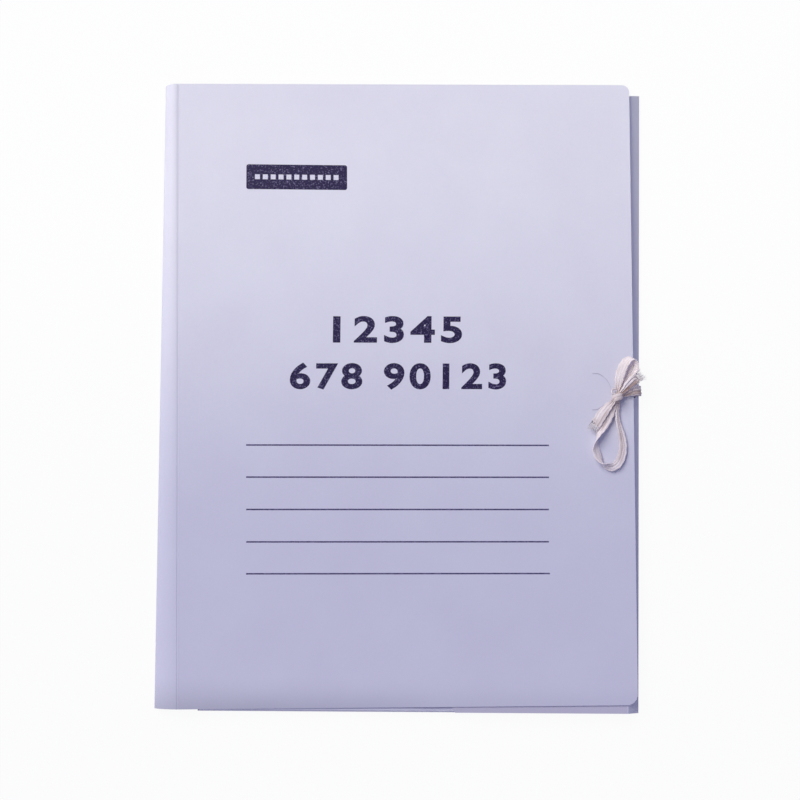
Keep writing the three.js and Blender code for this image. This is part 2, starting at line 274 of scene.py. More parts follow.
@dataclass(frozen=True)
class Card:
    """Bleached folding card. Pressed wood pulp gives it a faint cloudy tone and a fine tooth."""

    name: str
    colour: int
    cloud: int
    speck: int
    roughness: float
    specular: float = 0.35
    speck_share: float = 0.0
    cloud_mm: float = 26.0
    fibre_mm: float = 1.6
    fibre_share: float = 0.12
    speck_mm: float = 1.1
    tooth_mm: float = 0.9  # the real tooth is near 0.2 mm and would not show
    tooth_depth_mm: float = 0.012
    soil: float = 0.0  # how much painted shade darkens the lower edge at the spine
    painted_shade_at_fore_edge: float = 0.0
    painted_shade_colour: int = 0x2E2A30
    painted_shade_along: Pair = (-0.110, 0.105)  # the frame's X at the spine and near the fore edge, in metres
    painted_shade_up: Pair = (-0.1415, -0.1585)  # the frame's Y where it starts and at the lower edge

    def material(self) -> bpy.types.Material:
        """Builds the card's material.

        Returns:
            A material on Object coordinates.
        """
        made, tree, shader = start_material(self.name, self.roughness, self.specular)
        place = add_node(tree, "ShaderNodeTexCoord").outputs["Object"]
        clouds = add_node(tree, "ShaderNodeTexNoise", inputs={
            "Vector": place, "Scale": per_metre(self.cloud_mm), "Detail": 3.0, "Roughness": 0.55})
        tone = ramp(tree, clouds.outputs["Fac"], [
            (0.32, linear(self.cloud)), (0.66, linear(self.colour))])
        fibres = add_node(tree, "ShaderNodeTexNoise", inputs={
            "Vector": place, "Scale": per_metre(self.fibre_mm), "Detail": 4.0, "Roughness": 0.7})
        grain = add_node(tree, "ShaderNodeMix", {"data_type": "RGBA", "blend_type": "SOFT_LIGHT"}, {
            0: self.fibre_share, 6: tone, 7: fibres.outputs["Color"]})
        colour = grain.outputs[2]
        if self.speck_share:
            specks = add_node(tree, "ShaderNodeTexNoise", inputs={
                "Vector": place, "Scale": per_metre(self.speck_mm), "Detail": 1.0})
            mask = ramp(tree, specks.outputs["Fac"], [
                (0.70 - self.speck_share, (0, 0, 0, 1)), (0.76, (1, 1, 1, 1))])
            colour = add_node(tree, "ShaderNodeMix", {"data_type": "RGBA"}, {
                0: mask, 6: colour, 7: linear(self.speck)}).outputs[2]
        # painted shade, darker towards the lower edge
        if self.soil:
            colour = self.painted_shade_edge(tree, place, colour)
        tooth = add_node(tree, "ShaderNodeTexNoise", inputs={
            "Vector": place, "Scale": per_metre(self.tooth_mm), "Detail": 5.0, "Roughness": 0.6})
        bump = add_node(tree, "ShaderNodeBump", inputs={
            "Strength": 0.5, "Distance": self.tooth_depth_mm * MM, "Height": tooth.outputs["Fac"]})
        tree.links.new(colour, shader.inputs["Base Color"])
        tree.links.new(bump.outputs["Normal"], shader.inputs["Normal"])
        return made

    def painted_shade_edge(self, tree: bpy.types.NodeTree, place: bpy.types.NodeSocket,
                    colour: bpy.types.NodeSocket) -> bpy.types.NodeSocket:
        """Paints shade on the card, darker towards its lower edge.

        Args:
            tree: The material's nodes.
            place: The Object coordinates.
            colour: The card's colour.

        Returns:
            The darkened colour.
        """
        axes = add_node(tree, "ShaderNodeSeparateXYZ", inputs={0: place})
        near = add_node(tree, "ShaderNodeMapRange", inputs={
            "Value": axes.outputs["Y"], "From Min": self.painted_shade_up[0], "From Max": self.painted_shade_up[1],
            "To Min": 0.0, "To Max": 1.0})
        fade = add_node(tree, "ShaderNodeMath", {"operation": "POWER"}, {0: near.outputs[0], 1: 1.5})
        along = add_node(tree, "ShaderNodeMapRange", inputs={
            "Value": axes.outputs["X"], "From Min": self.painted_shade_along[0], "From Max": self.painted_shade_along[1],
            "To Min": self.soil, "To Max": self.painted_shade_at_fore_edge})
        share = add_node(tree, "ShaderNodeMath", {"operation": "MULTIPLY"}, {
            0: fade.outputs[0], 1: along.outputs[0]})
        return add_node(tree, "ShaderNodeMix", {"data_type": "RGBA"}, {
            0: share.outputs[0], 6: colour, 7: linear(self.painted_shade_colour)}).outputs[2]


@dataclass(frozen=True)
class Ink:
    """Offset ink on card. The card's tooth shows through it as pale specks."""

    name: str
    colour: int
    worn: int
    speck_mm: float
    worn_from: float
    worn_over: float = 0.16
    roughness: float = 0.5
    specular: float = 0.3

    def material(self) -> bpy.types.Material:
        """Builds the ink's material.

        Returns:
            A material on Object coordinates.
        """
        made, tree, shader = start_material(self.name, self.roughness, self.specular)
        place = add_node(tree, "ShaderNodeTexCoord").outputs["Object"]
        specks = add_node(tree, "ShaderNodeTexNoise", inputs={
            "Vector": place, "Scale": per_metre(self.speck_mm), "Detail": 2.0, "Roughness": 0.65})
        colour = ramp(tree, specks.outputs["Fac"], [
            (self.worn_from, linear(self.colour)), (self.worn_from + self.worn_over, linear(self.worn))])
        tree.links.new(colour, shader.inputs["Base Color"])
        return made


@dataclass(frozen=True)
class CottonTape:
    """Unbleached cotton in a loose plain weave. Long yarns give it streaks, and its fuzz a sheen."""

    name: str
    colour: int
    shade: int
    # the brownish colour of the painted shade
    tan: int
    roughness: float = 0.95
    specular: float = 0.15
    fuzz: float = 0.35
    yarn_mm: float = 0.56
    streak_mm: float = 1 / 0.12
    weft_mm: float = 0.9
    yarn_depth_mm: float = 0.12

    def material(self) -> bpy.types.Material:
        """Builds the tape's material.

        Returns:
            A material on the tape's own UV map, whose unit is a millimetre.
        """
        made, tree, shader = start_material(self.name, self.roughness, self.specular)
        shader.inputs["Sheen Weight"].default_value = self.fuzz
        shader.inputs["Sheen Roughness"].default_value = 0.6
        weave = add_node(tree, "ShaderNodeUVMap", {"uv_map": "tape"}).outputs["UV"]
        drawn = add_node(tree, "ShaderNodeMapping", inputs={
            "Vector": weave, "Scale": (1 / self.streak_mm, 1 / self.yarn_mm, 1.0)})
        streaks = add_node(tree, "ShaderNodeTexNoise", inputs={
            "Vector": drawn.outputs["Vector"], "Scale": 1.0, "Detail": 3.0, "Roughness": 0.6})
        colour = ramp(tree, streaks.outputs["Fac"], [
            (0.30, linear(self.shade)), (0.58, linear(self.colour))])
        across = add_node(tree, "ShaderNodeTexWave", {"wave_type": "BANDS", "bands_direction": "X"}, {
            "Vector": weave, "Scale": 0.314 / self.weft_mm, "Distortion": 1.2, "Detail": 1.0})
        threads = add_node(tree, "ShaderNodeMath", {"operation": "ADD"}, {
            0: streaks.outputs["Fac"], 1: across.outputs["Fac"]})
        bump = add_node(tree, "ShaderNodeBump", inputs={
            "Strength": 0.7, "Distance": self.yarn_depth_mm * MM, "Height": threads.outputs[0]})
        # Brownish shade is painted in from the tape's second UV map, mostly on its darker streaks.
        soil = add_node(tree, "ShaderNodeSeparateXYZ", inputs={
            "Vector": add_node(tree, "ShaderNodeUVMap", {"uv_map": "soil"}).outputs["UV"]})
        caught = ramp(tree, streaks.outputs["Fac"], [(0.36, (1, 1, 1, 1)), (0.68, (0.4, 0.4, 0.4, 1))])
        brown_shade_share = add_node(tree, "ShaderNodeMath", {"operation": "MULTIPLY"}, {
            0: soil.outputs["X"], 1: caught})
        colour = add_node(tree, "ShaderNodeMix", {"data_type": "RGBA"}, {
            0: brown_shade_share.outputs[0], 6: colour, 7: linear(self.tan)}).outputs[2]
        tree.links.new(colour, shader.inputs["Base Color"])
        tree.links.new(bump.outputs["Normal"], shader.inputs["Normal"])
        return made


# The outside of the blank has a thin clay coating: even, faintly violet and only a little glossy.
COATED = Card("coated_bleached_card", 0xDCDBEB, 0xD9D7E8, 0x8D88A6, 0.55, cloud_mm=34.0)
# The spine and the cover carry painted shade towards their lower edge.
SHADED_COATED = replace(COATED, name="coated_card_painted_shade", soil=0.23)
# The side flap is painted darker than the cover as painted shade, with more painted shade towards its lower
# edge; it is also a little more matt.
FLAP = Card("flap_card_painted_shade", 0xD0CCDE, 0xCCC8DA, 0x8D88A6, 0.6, cloud_mm=34.0,
            soil=0.16, painted_shade_at_fore_edge=0.03)
# The bottom gusset is painted paler than the cover, as painted light on a face that the lamps hardly reach;
# it is also more matt.
PAINTED_LIGHT_GUSSET = Card("gusset_card_painted_light", 0xF6F4FC, 0xEFEDF8, 0x8D88A6, 0.7, cloud_mm=12.0)
# The inside is bare pulp, greyer and matt, with fine dark shives.
UNCOATED = Card("uncoated_pulp_card", 0xCFCBDC, 0xCAC6D8, 0x8F8AA4, 0.82, speck_share=0.02)
# A die cuts the edges, which show the card's white core.
CUT_EDGE = Card("die_cut_card_edge", 0xF0EDF7, 0xE4E0EF, 0x8F8AA4, 0.9)
# Thin machine-made paper, a little uneven in tone where the glue has soaked in.
PATCH_PAPER = Card("glued_kraft_paper", 0xDEDBE6, 0xD2CFDC, 0xA9A5B8, 0.86, speck_share=0.03)
# Solid areas take the ink unevenly, so that card shows through in specks. Thin lines look paler.
PLATE_INK = Ink("speckled_offset_ink", 0x201442, 0x7A7398, 0.8, 0.55)
LINE_INK = Ink("thin_offset_ink", 0x463E66, 0x6F698E, 0.9, 0.46)
BLANK_INK = Ink("unprinted_card_window", 0xD8D6E8, 0xB4B0CC, 0.5, 0.55)
# Cotton tape is creamy, with painted brownish shade near the knot and along a stripe of its worn stretches.
COTTON = CottonTape("woven_cotton_tape", 0xFCF2F4, 0xDECCCA, 0x9C7A6C)
# The loose yarns are painted lighter than the tape: painted light that offsets the shade they cast on each
# other.
PAINTED_LIGHT_YARN = CottonTape("loose_cotton_yarn_painted_light", 0xFFFAFB, 0xF4E8E8, 0xB9A294)
FIBRE = Ink("stray_jute_fibre", 0xADA7BC, 0xC2BCD0, 2.0, 0.5)


class Shelf:
    """Makes each finish's material once and hands it out."""

    def __init__(self) -> None:
        """Starts with no materials."""
        self._made: dict[str, bpy.types.Material] = {}

    def get(self, finish: Card | Ink | CottonTape) -> bpy.types.Material:
        """Returns the one material of a finish."""
        if finish.name not in self._made:
            self._made[finish.name] = finish.material()
        return self._made[finish.name]


SHELF = Shelf()


# The card blank's drawing


@dataclass(frozen=True)
class Swell:
    """A soft hill or hollow of the cover, at a and b of the cover, in millimetres."""

    a: float
    b: float
    reach_a: float
    reach_b: float
    height: float

    def lift(self, a: float, b: float) -> float:
        """Returns how far it lifts the cover at a point."""
        away = math.hypot((a - self.a) / self.reach_a, (b - self.b) / self.reach_b)
        return self.height * math.exp(-away * away)


@dataclass(frozen=True)
class Drawing:
    """The folder's drawing: X from the spine fold, Y from the bottom end, Z up, in millimetres."""

    origin: Vector  # its zero point in the frame, in metres
    thickness: float = 0.5
    gap: float = 0.6  # from a fold line to where its crease ends
    back_width: float = 243.4
    back_bottom: float = 0.3
    back_top: float = 315.7
    relief: float = 1.1
    relief_width: float = 20.5
    cover_width: float = 230.0
    cover_height: float = 315.0
    cover_corner: float = 5.5
    cover_top_corner: float = 3.8
    skew: float = math.radians(0.916)
    crease_foot: Pair = (11.9, 1.3)
    crease_levels: Pair = (6.6, 8.6)  # the cover's height at its crease, at the bottom and the top
    fore_levels: Pair = (7.5, 7.8)  # and the same at its fore edge
    crown: float = 0.5
    sag_at_spine: float = 0.88  # the lower edge sags on to the bottom flap
    sag_on_flap: Pair = (0.21, 0.71)  # and less so where the side flap lies on that
    flap_reach: Pair = (0.48, 0.57)
    sag_start: float = 38.0
    sag_height: float = 9.0
    roll: float = 0.10
    roll_length: Pair = (46.0, 71.0)
    roll_start: Pair = (0.7, 0.4)
    flat_edge: float = 30.0  # the roll dies out this near to the crease and the lower edge
    flat_top: float = 12.0
    pull: Swell = Swell(207.9, 175.0, 13, 24, 0.38)  # the tie's pull near its slit
    dent: Swell = Swell(193.0, 171.0, 9, 30, -0.20)  # the shallow hollow beside it
    spine_rise: tuple[Pair, Pair] = ((0.9, -0.1), (4.4, 7.6))  # X and Z at the bottom and the top
    spine_roll: tuple[Pair, Pair] = ((7.6, 3.6), (6.3, 9.3))
    spine_end: float = 0.955  # the share of the spine's roll at which its crease starts
    side_lean: float = math.radians(137)
    side_turn: float = math.radians(121)  # how far the side gusset opens
    side_gusset: float = 8.5
    side_flap: float = 95.0
    side_bottom: Pair = (0.1, 0.15)  # short of the back's end, and its taper
    side_top: Pair = (-0.45, 1.4)
    side_chamfer: float = 8.0
    side_rise: float = 1.65  # the slope of the flap's cut corners
    short_lean: float = math.radians(78)
    short_gusset: float = 5.15
    short_flap: float = 65.0
    short_inset: float = 21.5
    short_slant: float = 0.25
    short_corner: float = 6.0
    slit_length: float = 5.6
    slit_width: float = 1.1
    front_slit: Pair = (221.6, 154.7)
    back_slit: Pair = (3.6, 162.7)

    def at(self, x: float, y: float, z: float) -> Vector:
        """Returns a point of the drawing in the frame, in metres."""
        return self.origin + Vector((x, y, z)) * MM

    def cover(self, a: float, b: float) -> Vector:
        """The cover's middle surface.

        Args:
            a: Millimetres from the cover's crease towards the fore edge.
            b: Millimetres up from its bottom edge.

        Returns:
            The point in the drawing, in millimetres.
        """
        u, v = a / self.cover_width, b / self.cover_height
        level = mix(mix(*self.crease_levels, v), mix(*self.fore_levels, v), u)
        crown = self.crown * math.sin(math.pi * clamp(u)) * math.sin(math.pi * clamp(v))
        near_bottom = max(0.0, 1 - b / self.sag_height)
        sag = mix(self.sag_at_spine, mix(*self.sag_on_flap, u), smooth(*self.flap_reach, u))
        curl = sag * near_bottom ** 2 * clamp(a / self.sag_start)
        return Vector((
            self.crease_foot[0] + a * math.cos(self.skew) - b * math.sin(self.skew),
            self.crease_foot[1] + a * math.sin(self.skew) + b * math.cos(self.skew),
            level + crown - curl + self.cover_waves(a, b),
        ))

    def cover_waves(self, a: float, b: float) -> float:
        """The cover's slight waves: a long roll, and the pull of the tie near its slit."""
        waves = [math.sin(at / length + start)
                 for at, length, start in zip((a, b), self.roll_length, self.roll_start)]
        near = smooth(0, self.flat_edge, a) * smooth(0, self.flat_edge, b)
        fade = near * smooth(0, self.flat_top, self.cover_height - b)
        return self.roll * waves[0] * waves[1] * fade + self.pull.lift(a, b) + self.dent.lift(a, b)

    def on_cover(self, x: float, y: float, lift: float) -> Vector:
        """A point on the cover's upper face.

        Args:
            x: The drawing's X.
            y: The drawing's Y.
            lift: Millimetres above the face.

        Returns:
            The point in the frame, in metres.
        """
        dx, dy = x - self.crease_foot[0], y - self.crease_foot[1]
        a = dx * math.cos(self.skew) + dy * math.sin(self.skew)
        b = dy * math.cos(self.skew) - dx * math.sin(self.skew)
        surface = self.cover(a, b)
        return self.at(x, y, surface.z + self.thickness / 2 + lift)

    def spine(self, a: float, b: float) -> Vector:
        """The spine's middle surface, a roll from the spine fold over to the cover's crease.

        Args:
            a: 0 at the fold and 1 at the crease.
            b: 0 at the bottom end and 1 at the top end.

        Returns:
            The point in the drawing, in millimetres.
        """
        fold = Vector((0, mix(self.crease_foot[1], self.back_top, b), self.thickness / 2))
        crease = self.cover(0, b * self.cover_height)
        rise_x, rise_z = (mix(*ends, b) for ends in self.spine_rise)
        roll_x, roll_z = (mix(*ends, b) for ends in self.spine_roll)
        rise = Vector((rise_x, mix(fold.y, crease.y, 0.3), rise_z))
        roll = Vector((roll_x, mix(fold.y, crease.y, 0.7), roll_z))
        start = self.gap / (3 * (rise - fold).length)
        t = mix(start, 1, a)
        s = 1 - t
        return fold * s ** 3 + rise * (3 * s * s * t) + roll * (3 * s * t * t) + crease * t ** 3

    def side_edges(self, share: float) -> Pair:
        """The side gusset's ends along Y, where share is 0 at its fold and 1 at its crease."""
        return (self.back_bottom + self.side_bottom[0] + self.side_bottom[1] * share,
                self.back_top - self.side_top[0] - self.side_top[1] * share)

    def gusset(self, a: float, b: float) -> Vector:
        """The side gusset's middle surface, a millimetres up it from its fold."""
        return Vector((
            self.back_width + a * math.cos(self.side_lean),
            b,
            self.thickness / 2 + a * math.sin(self.side_lean),
        ))

    def leaf(self, a: float, b: float) -> Vector:
        """The side flap's middle surface, a millimetres in from its crease."""
        crease = self.gusset(self.side_gusset, b)
        return Vector((crease.x - a, b, crease.z))

    def short_end(self, inward: int) -> float:
        """The fold line of a short gusset: inward is 1 at the bottom end and -1 at the top."""
        return self.back_bottom if inward > 0 else self.back_top

    def short_edges(self, distance: float) -> Pair:
        """Both ends of a short gusset or flap at a distance from its fold, along X."""
        corner = corner_inset(distance, self.short_gusset + self.short_flap, self.short_corner)
        inset = self.short_inset + self.short_slant * distance + corner
        return inset, self.back_width - inset

    def short_wall(self, inward: int, a: float, x: float) -> Vector:
        """A short gusset's middle surface, a millimetres up it from its fold."""
        return Vector((
            x,
            self.short_end(inward) + inward * a * math.cos(self.short_lean),
            self.thickness / 2 + a * math.sin(self.short_lean),
        ))

    def short_leaf(self, inward: int, a: float, x: float) -> Vector:
        """A short flap's middle surface, a millimetres in from its crease."""
        crease = self.short_wall(inward, self.short_gusset, x)
        return Vector((x, crease.y + inward * a, crease.z))


def drawing_origin() -> Vector:
    """Finds the drawing's zero point from the back cover, whose corner lies above it."""
    low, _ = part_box("back_cover")
    return Vector((low.x, low.y - Drawing.back_bottom * MM, low.z))


PLAN = Drawing(origin=drawing_origin())


def rounded_stations(start: float, end: float, count: int, radius: float) -> list[float]:
    """Stations that close up towards a rounded corner at their far end."""
    arc = [end - radius + radius * math.sin(math.radians(step)) for step in spread(0, 90, 8)]
    return spread(start, end - radius, count)[:-1] + arc


def grid_piece(name: str, across: Sequence[float], up: Sequence[float], place: Place) -> bpy.types.Object:
    """Models a surface from a grid primitive.

    Args:
        name: The piece's name.
        across: The first parameter's stations.
        up: The second parameter's stations.
        place: Gives the point of two parameters, in the frame, in metres.

    Returns:
        The new piece, a single surface.
    """
    deselect()
    columns, rows = len(across) - 1, len(up) - 1
    bpy.ops.mesh.primitive_grid_add(x_subdivisions=columns, y_subdivisions=rows, size=1)
    piece = bpy.context.object
    piece.name = name
    piece.data.name = name
    for vertex in piece.data.vertices:
        column = round((vertex.co.x + 0.5) * columns)
        row = round((vertex.co.y + 0.5) * rows)
        vertex.co = place(across[column], up[row])
    piece.data.update()
    return piece


def cut_faces(piece: bpy.types.Object, inside: Callable[[Vector], bool]) -> None:
    """Cuts faces out of a piece.

    Args:
        piece: The piece.
        inside: Tells from a face's centre whether it goes.
    """
    activate(piece)
    bpy.ops.object.mode_set(mode="EDIT")
    bpy.ops.mesh.select_all(action="DESELECT")
    bpy.ops.object.mode_set(mode="OBJECT")
    for face in piece.data.polygons:
        face.select = inside(face.center)
    bpy.ops.object.mode_set(mode="EDIT")
    bpy.ops.mesh.select_mode(type="FACE")
    bpy.ops.mesh.delete(type="FACE")
    bpy.ops.object.mode_set(mode="OBJECT")


def dress_card(piece: bpy.types.Object, outside_up: bool, outside: Card,
               thickness: float = PLAN.thickness) -> None:
    """Gives a card surface its thickness and its two faces and cut edge.

    Args:
        piece: The surface.
        outside_up: True where its normals point to the outside of the folder.
        outside: The finish of its outside.
        thickness: The card's thickness in millimetres.
    """
    faces = [outside, UNCOATED] if outside_up else [UNCOATED, outside]
    for finish in (*faces, CUT_EDGE):
        piece.data.materials.append(SHELF.get(finish))
    thicken(piece, thickness, use_even_offset=True, material_offset=1, material_offset_rim=2)
    smooth_by_angle(piece)


@dataclass
class CardPanel:
    """A panel of the card blank between two creases."""

    name: str
    node: str
    body: Body
    across: Sequence[float]
    shares: Sequence[float]
    edges: Callable[[float], Pair]
    place: Place
    outside_up: bool
    hole: Pair | None = None
    outside: Card = COATED

    def build(self) -> bpy.types.Object:
        """Models the panel, cuts its slit and dresses it.

        Returns:
            The finished panel, riding on its body.
        """
        def point(a: float, share: float) -> Vector:
            """A point of the panel."""
            return PLAN.at(*self.place(a, mix(*self.edges(a), share)))

        piece = grid_piece(self.name, self.across, self.shares, point)
        if self.hole is not None:
            centre = PLAN.at(*self.place(*self.hole))
            reach = Vector((PLAN.slit_width, PLAN.slit_length, PLAN.slit_width)) * (MM / 2)
            cut_faces(piece, lambda at: all(
                abs(at[axis] - centre[axis]) < reach[axis] for axis in range(3)))
        dress_card(piece, self.outside_up, self.outside)
        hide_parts(self.node)
        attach(piece, self.body.value)
        return piece


@dataclass
class Crease:
    """A pressed crease: the strip of card that bends where two panels meet."""

    name: str
    first: Body
    second: Body
    near: Line
    far: Line
    fold: Line
    length: Pair
    outside_up: bool
    outside: Card = COATED
    steps: int = 8
    thickness: float = 0.32

    def build(self) -> bpy.types.Object:
        """Models the strip as a small bend.

        Returns:
            The finished strip.
        """
        def point(t: float, along: float) -> Vector:
            """A point of the strip, t of the way over it."""
            return PLAN.at(*rounded(self.near(along), self.fold(along), self.far(along), t))

        piece = grid_piece(self.name, spread(0, 1, self.steps), spread(*self.length, 24), point)
        dress_card(piece, self.outside_up, self.outside, self.thickness)
        middle = sum(self.length) / 2
        point(0, middle)
        point(1, middle)
        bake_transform(piece)
        return piece


def stations_with(stations: Sequence[float], middle: float, width: float) -> list[float]:
    """Adds the two sides of a slit to a list of stations, and drops what is too near them."""
    sides = [middle - width / 2, middle + width / 2]
    kept = [s for s in stations if all(abs(s - side) > 0.4 for side in sides)]
    kept = [s for s in kept if not sides[0] < s < sides[1]]
    return sorted(kept + sides)


@dataclass(frozen=True)
class ShortEnd:
    """An end of the folder, which a short gusset and its flap close."""

    name: str
    inward: int  # 1 at the bottom end and -1 at the top end
    wall: Body
    leaf: Body
    outside: Card  # the gusset's finish


SHORT_ENDS = (
    ShortEnd("bottom", 1, Body.BOTTOM_WALL, Body.BOTTOM_LEAF, PAINTED_LIGHT_GUSSET),
    ShortEnd("top", -1, Body.TOP_WALL, Body.TOP_LEAF, COATED),
)


class Blank:
    """The card blank: nine panels and the eight creases between them."""

    def build(self) -> list[bpy.types.Object]:
        """Builds every panel and crease.

        Returns:
            The pieces, in order.
        """
        return [maker.build() for maker in (*self.panels(), *self.creases())]

    def panels(self) -> list[CardPanel]:
        """Describes the nine panels.

        Returns:
            The panels, those of the two short ends last.
        """
        plan = PLAN
        wall_low, wall_high = plan.side_edges(0)
        cover_across = sorted({
            *rounded_stations(plan.gap, plan.cover_width, 84, plan.cover_corner),
            *rounded_stations(plan.cover_width - plan.cover_corner, plan.cover_width, 2,
                              plan.cover_top_corner)})
        cover_up = stations_with(spread(0, plan.cover_height, 120), plan.front_slit[1], plan.slit_length)
        wall_up = stations_with(spread(wall_low, wall_high, 60), plan.back_slit[1], plan.slit_length)
        straight = plan.side_flap - plan.side_chamfer
        reliefs = (plan.relief_width, plan.relief_width + 1,
                   plan.back_width - plan.relief_width - 1, plan.back_width - plan.relief_width)

        def back_edges(a: float) -> Pair:
            """The back's ends, set back where no gusset joins it."""
            inset = plan.gap if reliefs[0] < a < reliefs[3] else plan.relief
            return plan.back_bottom + inset, plan.back_top - inset

        def cover_edges(a: float) -> Pair:
            """The cover's ends, with its rounded corners."""
            return (corner_inset(a, plan.cover_width, plan.cover_corner),
                    plan.cover_height - corner_inset(a, plan.cover_width, plan.cover_top_corner))

        def leaf_edges(a: float) -> Pair:
            """The side flap's ends, with its cut corners."""
            cut = plan.side_rise * max(0.0, a - straight)
            return plan.side_edges(1)[0] + cut, plan.side_edges(1)[1] - cut

        panels = [
            CardPanel("back_cover_card", "back_cover", Body.BACK,
                      sorted([*spread(plan.gap, plan.back_width - plan.gap, 36), *reliefs]),
                      spread(0, 1, 48),
                      back_edges, lambda a, b: Vector((a, b, plan.thickness / 2)), False),
            CardPanel("spine_card", "spine_panel", Body.SPINE,
                      spread(0, plan.spine_end, 30), spread(0, 1, 80),
                      lambda a: (0.0, 1.0), plan.spine, True, outside=SHADED_COATED),
            CardPanel("front_cover_card", "front_cover", Body.COVER,
                      stations_with(cover_across, plan.front_slit[0], plan.slit_width),
                      [up / plan.cover_height for up in cover_up],
                      cover_edges, plan.cover, True, hole=plan.front_slit, outside=SHADED_COATED),
            CardPanel("side_gusset_card", "side_gusset", Body.SIDE_WALL,
                      stations_with(spread(plan.gap, plan.side_gusset - plan.gap, 12),
                                    plan.back_slit[0], plan.slit_width),
                      [(up - wall_low) / (wall_high - wall_low) for up in wall_up],
                      lambda a: plan.side_edges(a / plan.side_gusset),
                      plan.gusset, False, hole=plan.back_slit),
            CardPanel("side_flap_card", "side_flap", Body.SIDE_LEAF,
                      sorted([*spread(plan.gap, plan.side_flap, 20), straight]), spread(0, 1, 48),
                      leaf_edges, plan.leaf, False, outside=FLAP),
        ]
        for end in SHORT_ENDS:
            panels += self.short_panels(end)
        return panels

    def short_panels(self, end: ShortEnd) -> list[CardPanel]:
        """Describes a short gusset and its flap.

        Args:
            end: The end that they close.

        Returns:
            The two panels.
        """
        plan = PLAN
        rows = spread(plan.gap, plan.short_gusset - plan.gap, 4)
        reach = rounded_stations(plan.gap, plan.short_flap, 14, plan.short_corner)
        return [
            CardPanel(f"{end.name}_gusset_card", f"{end.name}_gusset", end.wall, rows, spread(0, 1, 40),
                      plan.short_edges, lambda a, x: plan.short_wall(end.inward, a, x), end.inward < 0,
                      outside=end.outside),
            CardPanel(f"{end.name}_flap_card", f"{end.name}_flap", end.leaf, reach, spread(0, 1, 40),
                      lambda a: plan.short_edges(plan.short_gusset + a),
                      lambda a, x: plan.short_leaf(end.inward, a, x), end.inward < 0),
        ]

    def creases(self) -> list[Crease]:
        """Describes the eight creases.

        Returns:
            The creases, those of the two short ends last.
        """
        plan = PLAN
        half = plan.thickness / 2
        top = plan.cover_height
        dip = Vector((0, 0, 0.14))  # the cover's crease is pressed in
        creases = [
            Crease("spine_fold_crease", Body.BACK, Body.SPINE,
                   lambda y: Vector((plan.gap, y, half)),
                   lambda y: plan.spine(0, (y - plan.crease_foot[1]) / top),
                   lambda y: Vector((0, y, half)),
                   (plan.back_bottom + plan.relief, plan.back_top - plan.relief), True),
            Crease("cover_crease", Body.SPINE, Body.COVER,
                   lambda b: plan.spine(plan.spine_end, b / top),
                   lambda b: plan.cover(plan.gap, b),
                   lambda b: plan.cover(0, b) - dip,
                   (0.0, top), True, outside=SHADED_COATED, thickness=plan.thickness),
            Crease("side_fold_crease", Body.BACK, Body.SIDE_WALL,
                   lambda y: Vector((plan.back_width - plan.gap, y, half)),
                   lambda y: plan.gusset(plan.gap, y),
                   lambda y: Vector((plan.back_width, y, half)),
                   plan.side_edges(0), False),
            Crease("side_flap_crease", Body.SIDE_WALL, Body.SIDE_LEAF,
                   lambda y: plan.gusset(plan.side_gusset - plan.gap, y),
                   lambda y: plan.leaf(plan.gap, y),
                   lambda y: plan.leaf(0, y),
                   plan.side_edges(1), False, thickness=plan.thickness),
        ]
        for end in SHORT_ENDS:
            creases += self.short_creases(end)
        return creases

    def short_creases(self, end: ShortEnd) -> list[Crease]:
        """Describes the two creases of a short gusset.

        Args:
            end: The end that it closes.

        Returns:
            The two creases.
        """
        plan = PLAN
        inward = end.inward
        line = plan.short_end(inward)
        return [
            Crease(f"{end.name}_fold_crease", Body.BACK, end.wall,
                   lambda x: Vector((x, line + inward * plan.gap, plan.thickness / 2)),
                   lambda x: plan.short_wall(inward, plan.gap, x),
                   lambda x: Vector((x, line, plan.thickness / 2)),
                   plan.short_edges(0), inward < 0, end.outside),
            Crease(f"{end.name}_flap_crease", end.wall, end.leaf,
                   lambda x: plan.short_wall(inward, plan.short_gusset - plan.gap, x),
                   lambda x: plan.short_leaf(inward, plan.gap, x),
                   lambda x: plan.short_leaf(inward, 0, x),
                   plan.short_edges(plan.short_gusset), inward < 0, end.outside),
        ]


# The print on the cover


def join(made: Sequence[bpy.types.Object], name: str, finish: Ink) -> bpy.types.Object:
    """Joins printed marks of one kind into one piece.

    Args:
        made: The marks.
        name: The piece's name.
        finish: Its ink.

    Returns:
        The piece.
    """
    activate(made[0])
    for piece in made:
        piece.select_set(True)
    bpy.ops.object.join()
    made[0].name = name
    made[0].data.materials.append(SHELF.get(finish))
    return made[0]


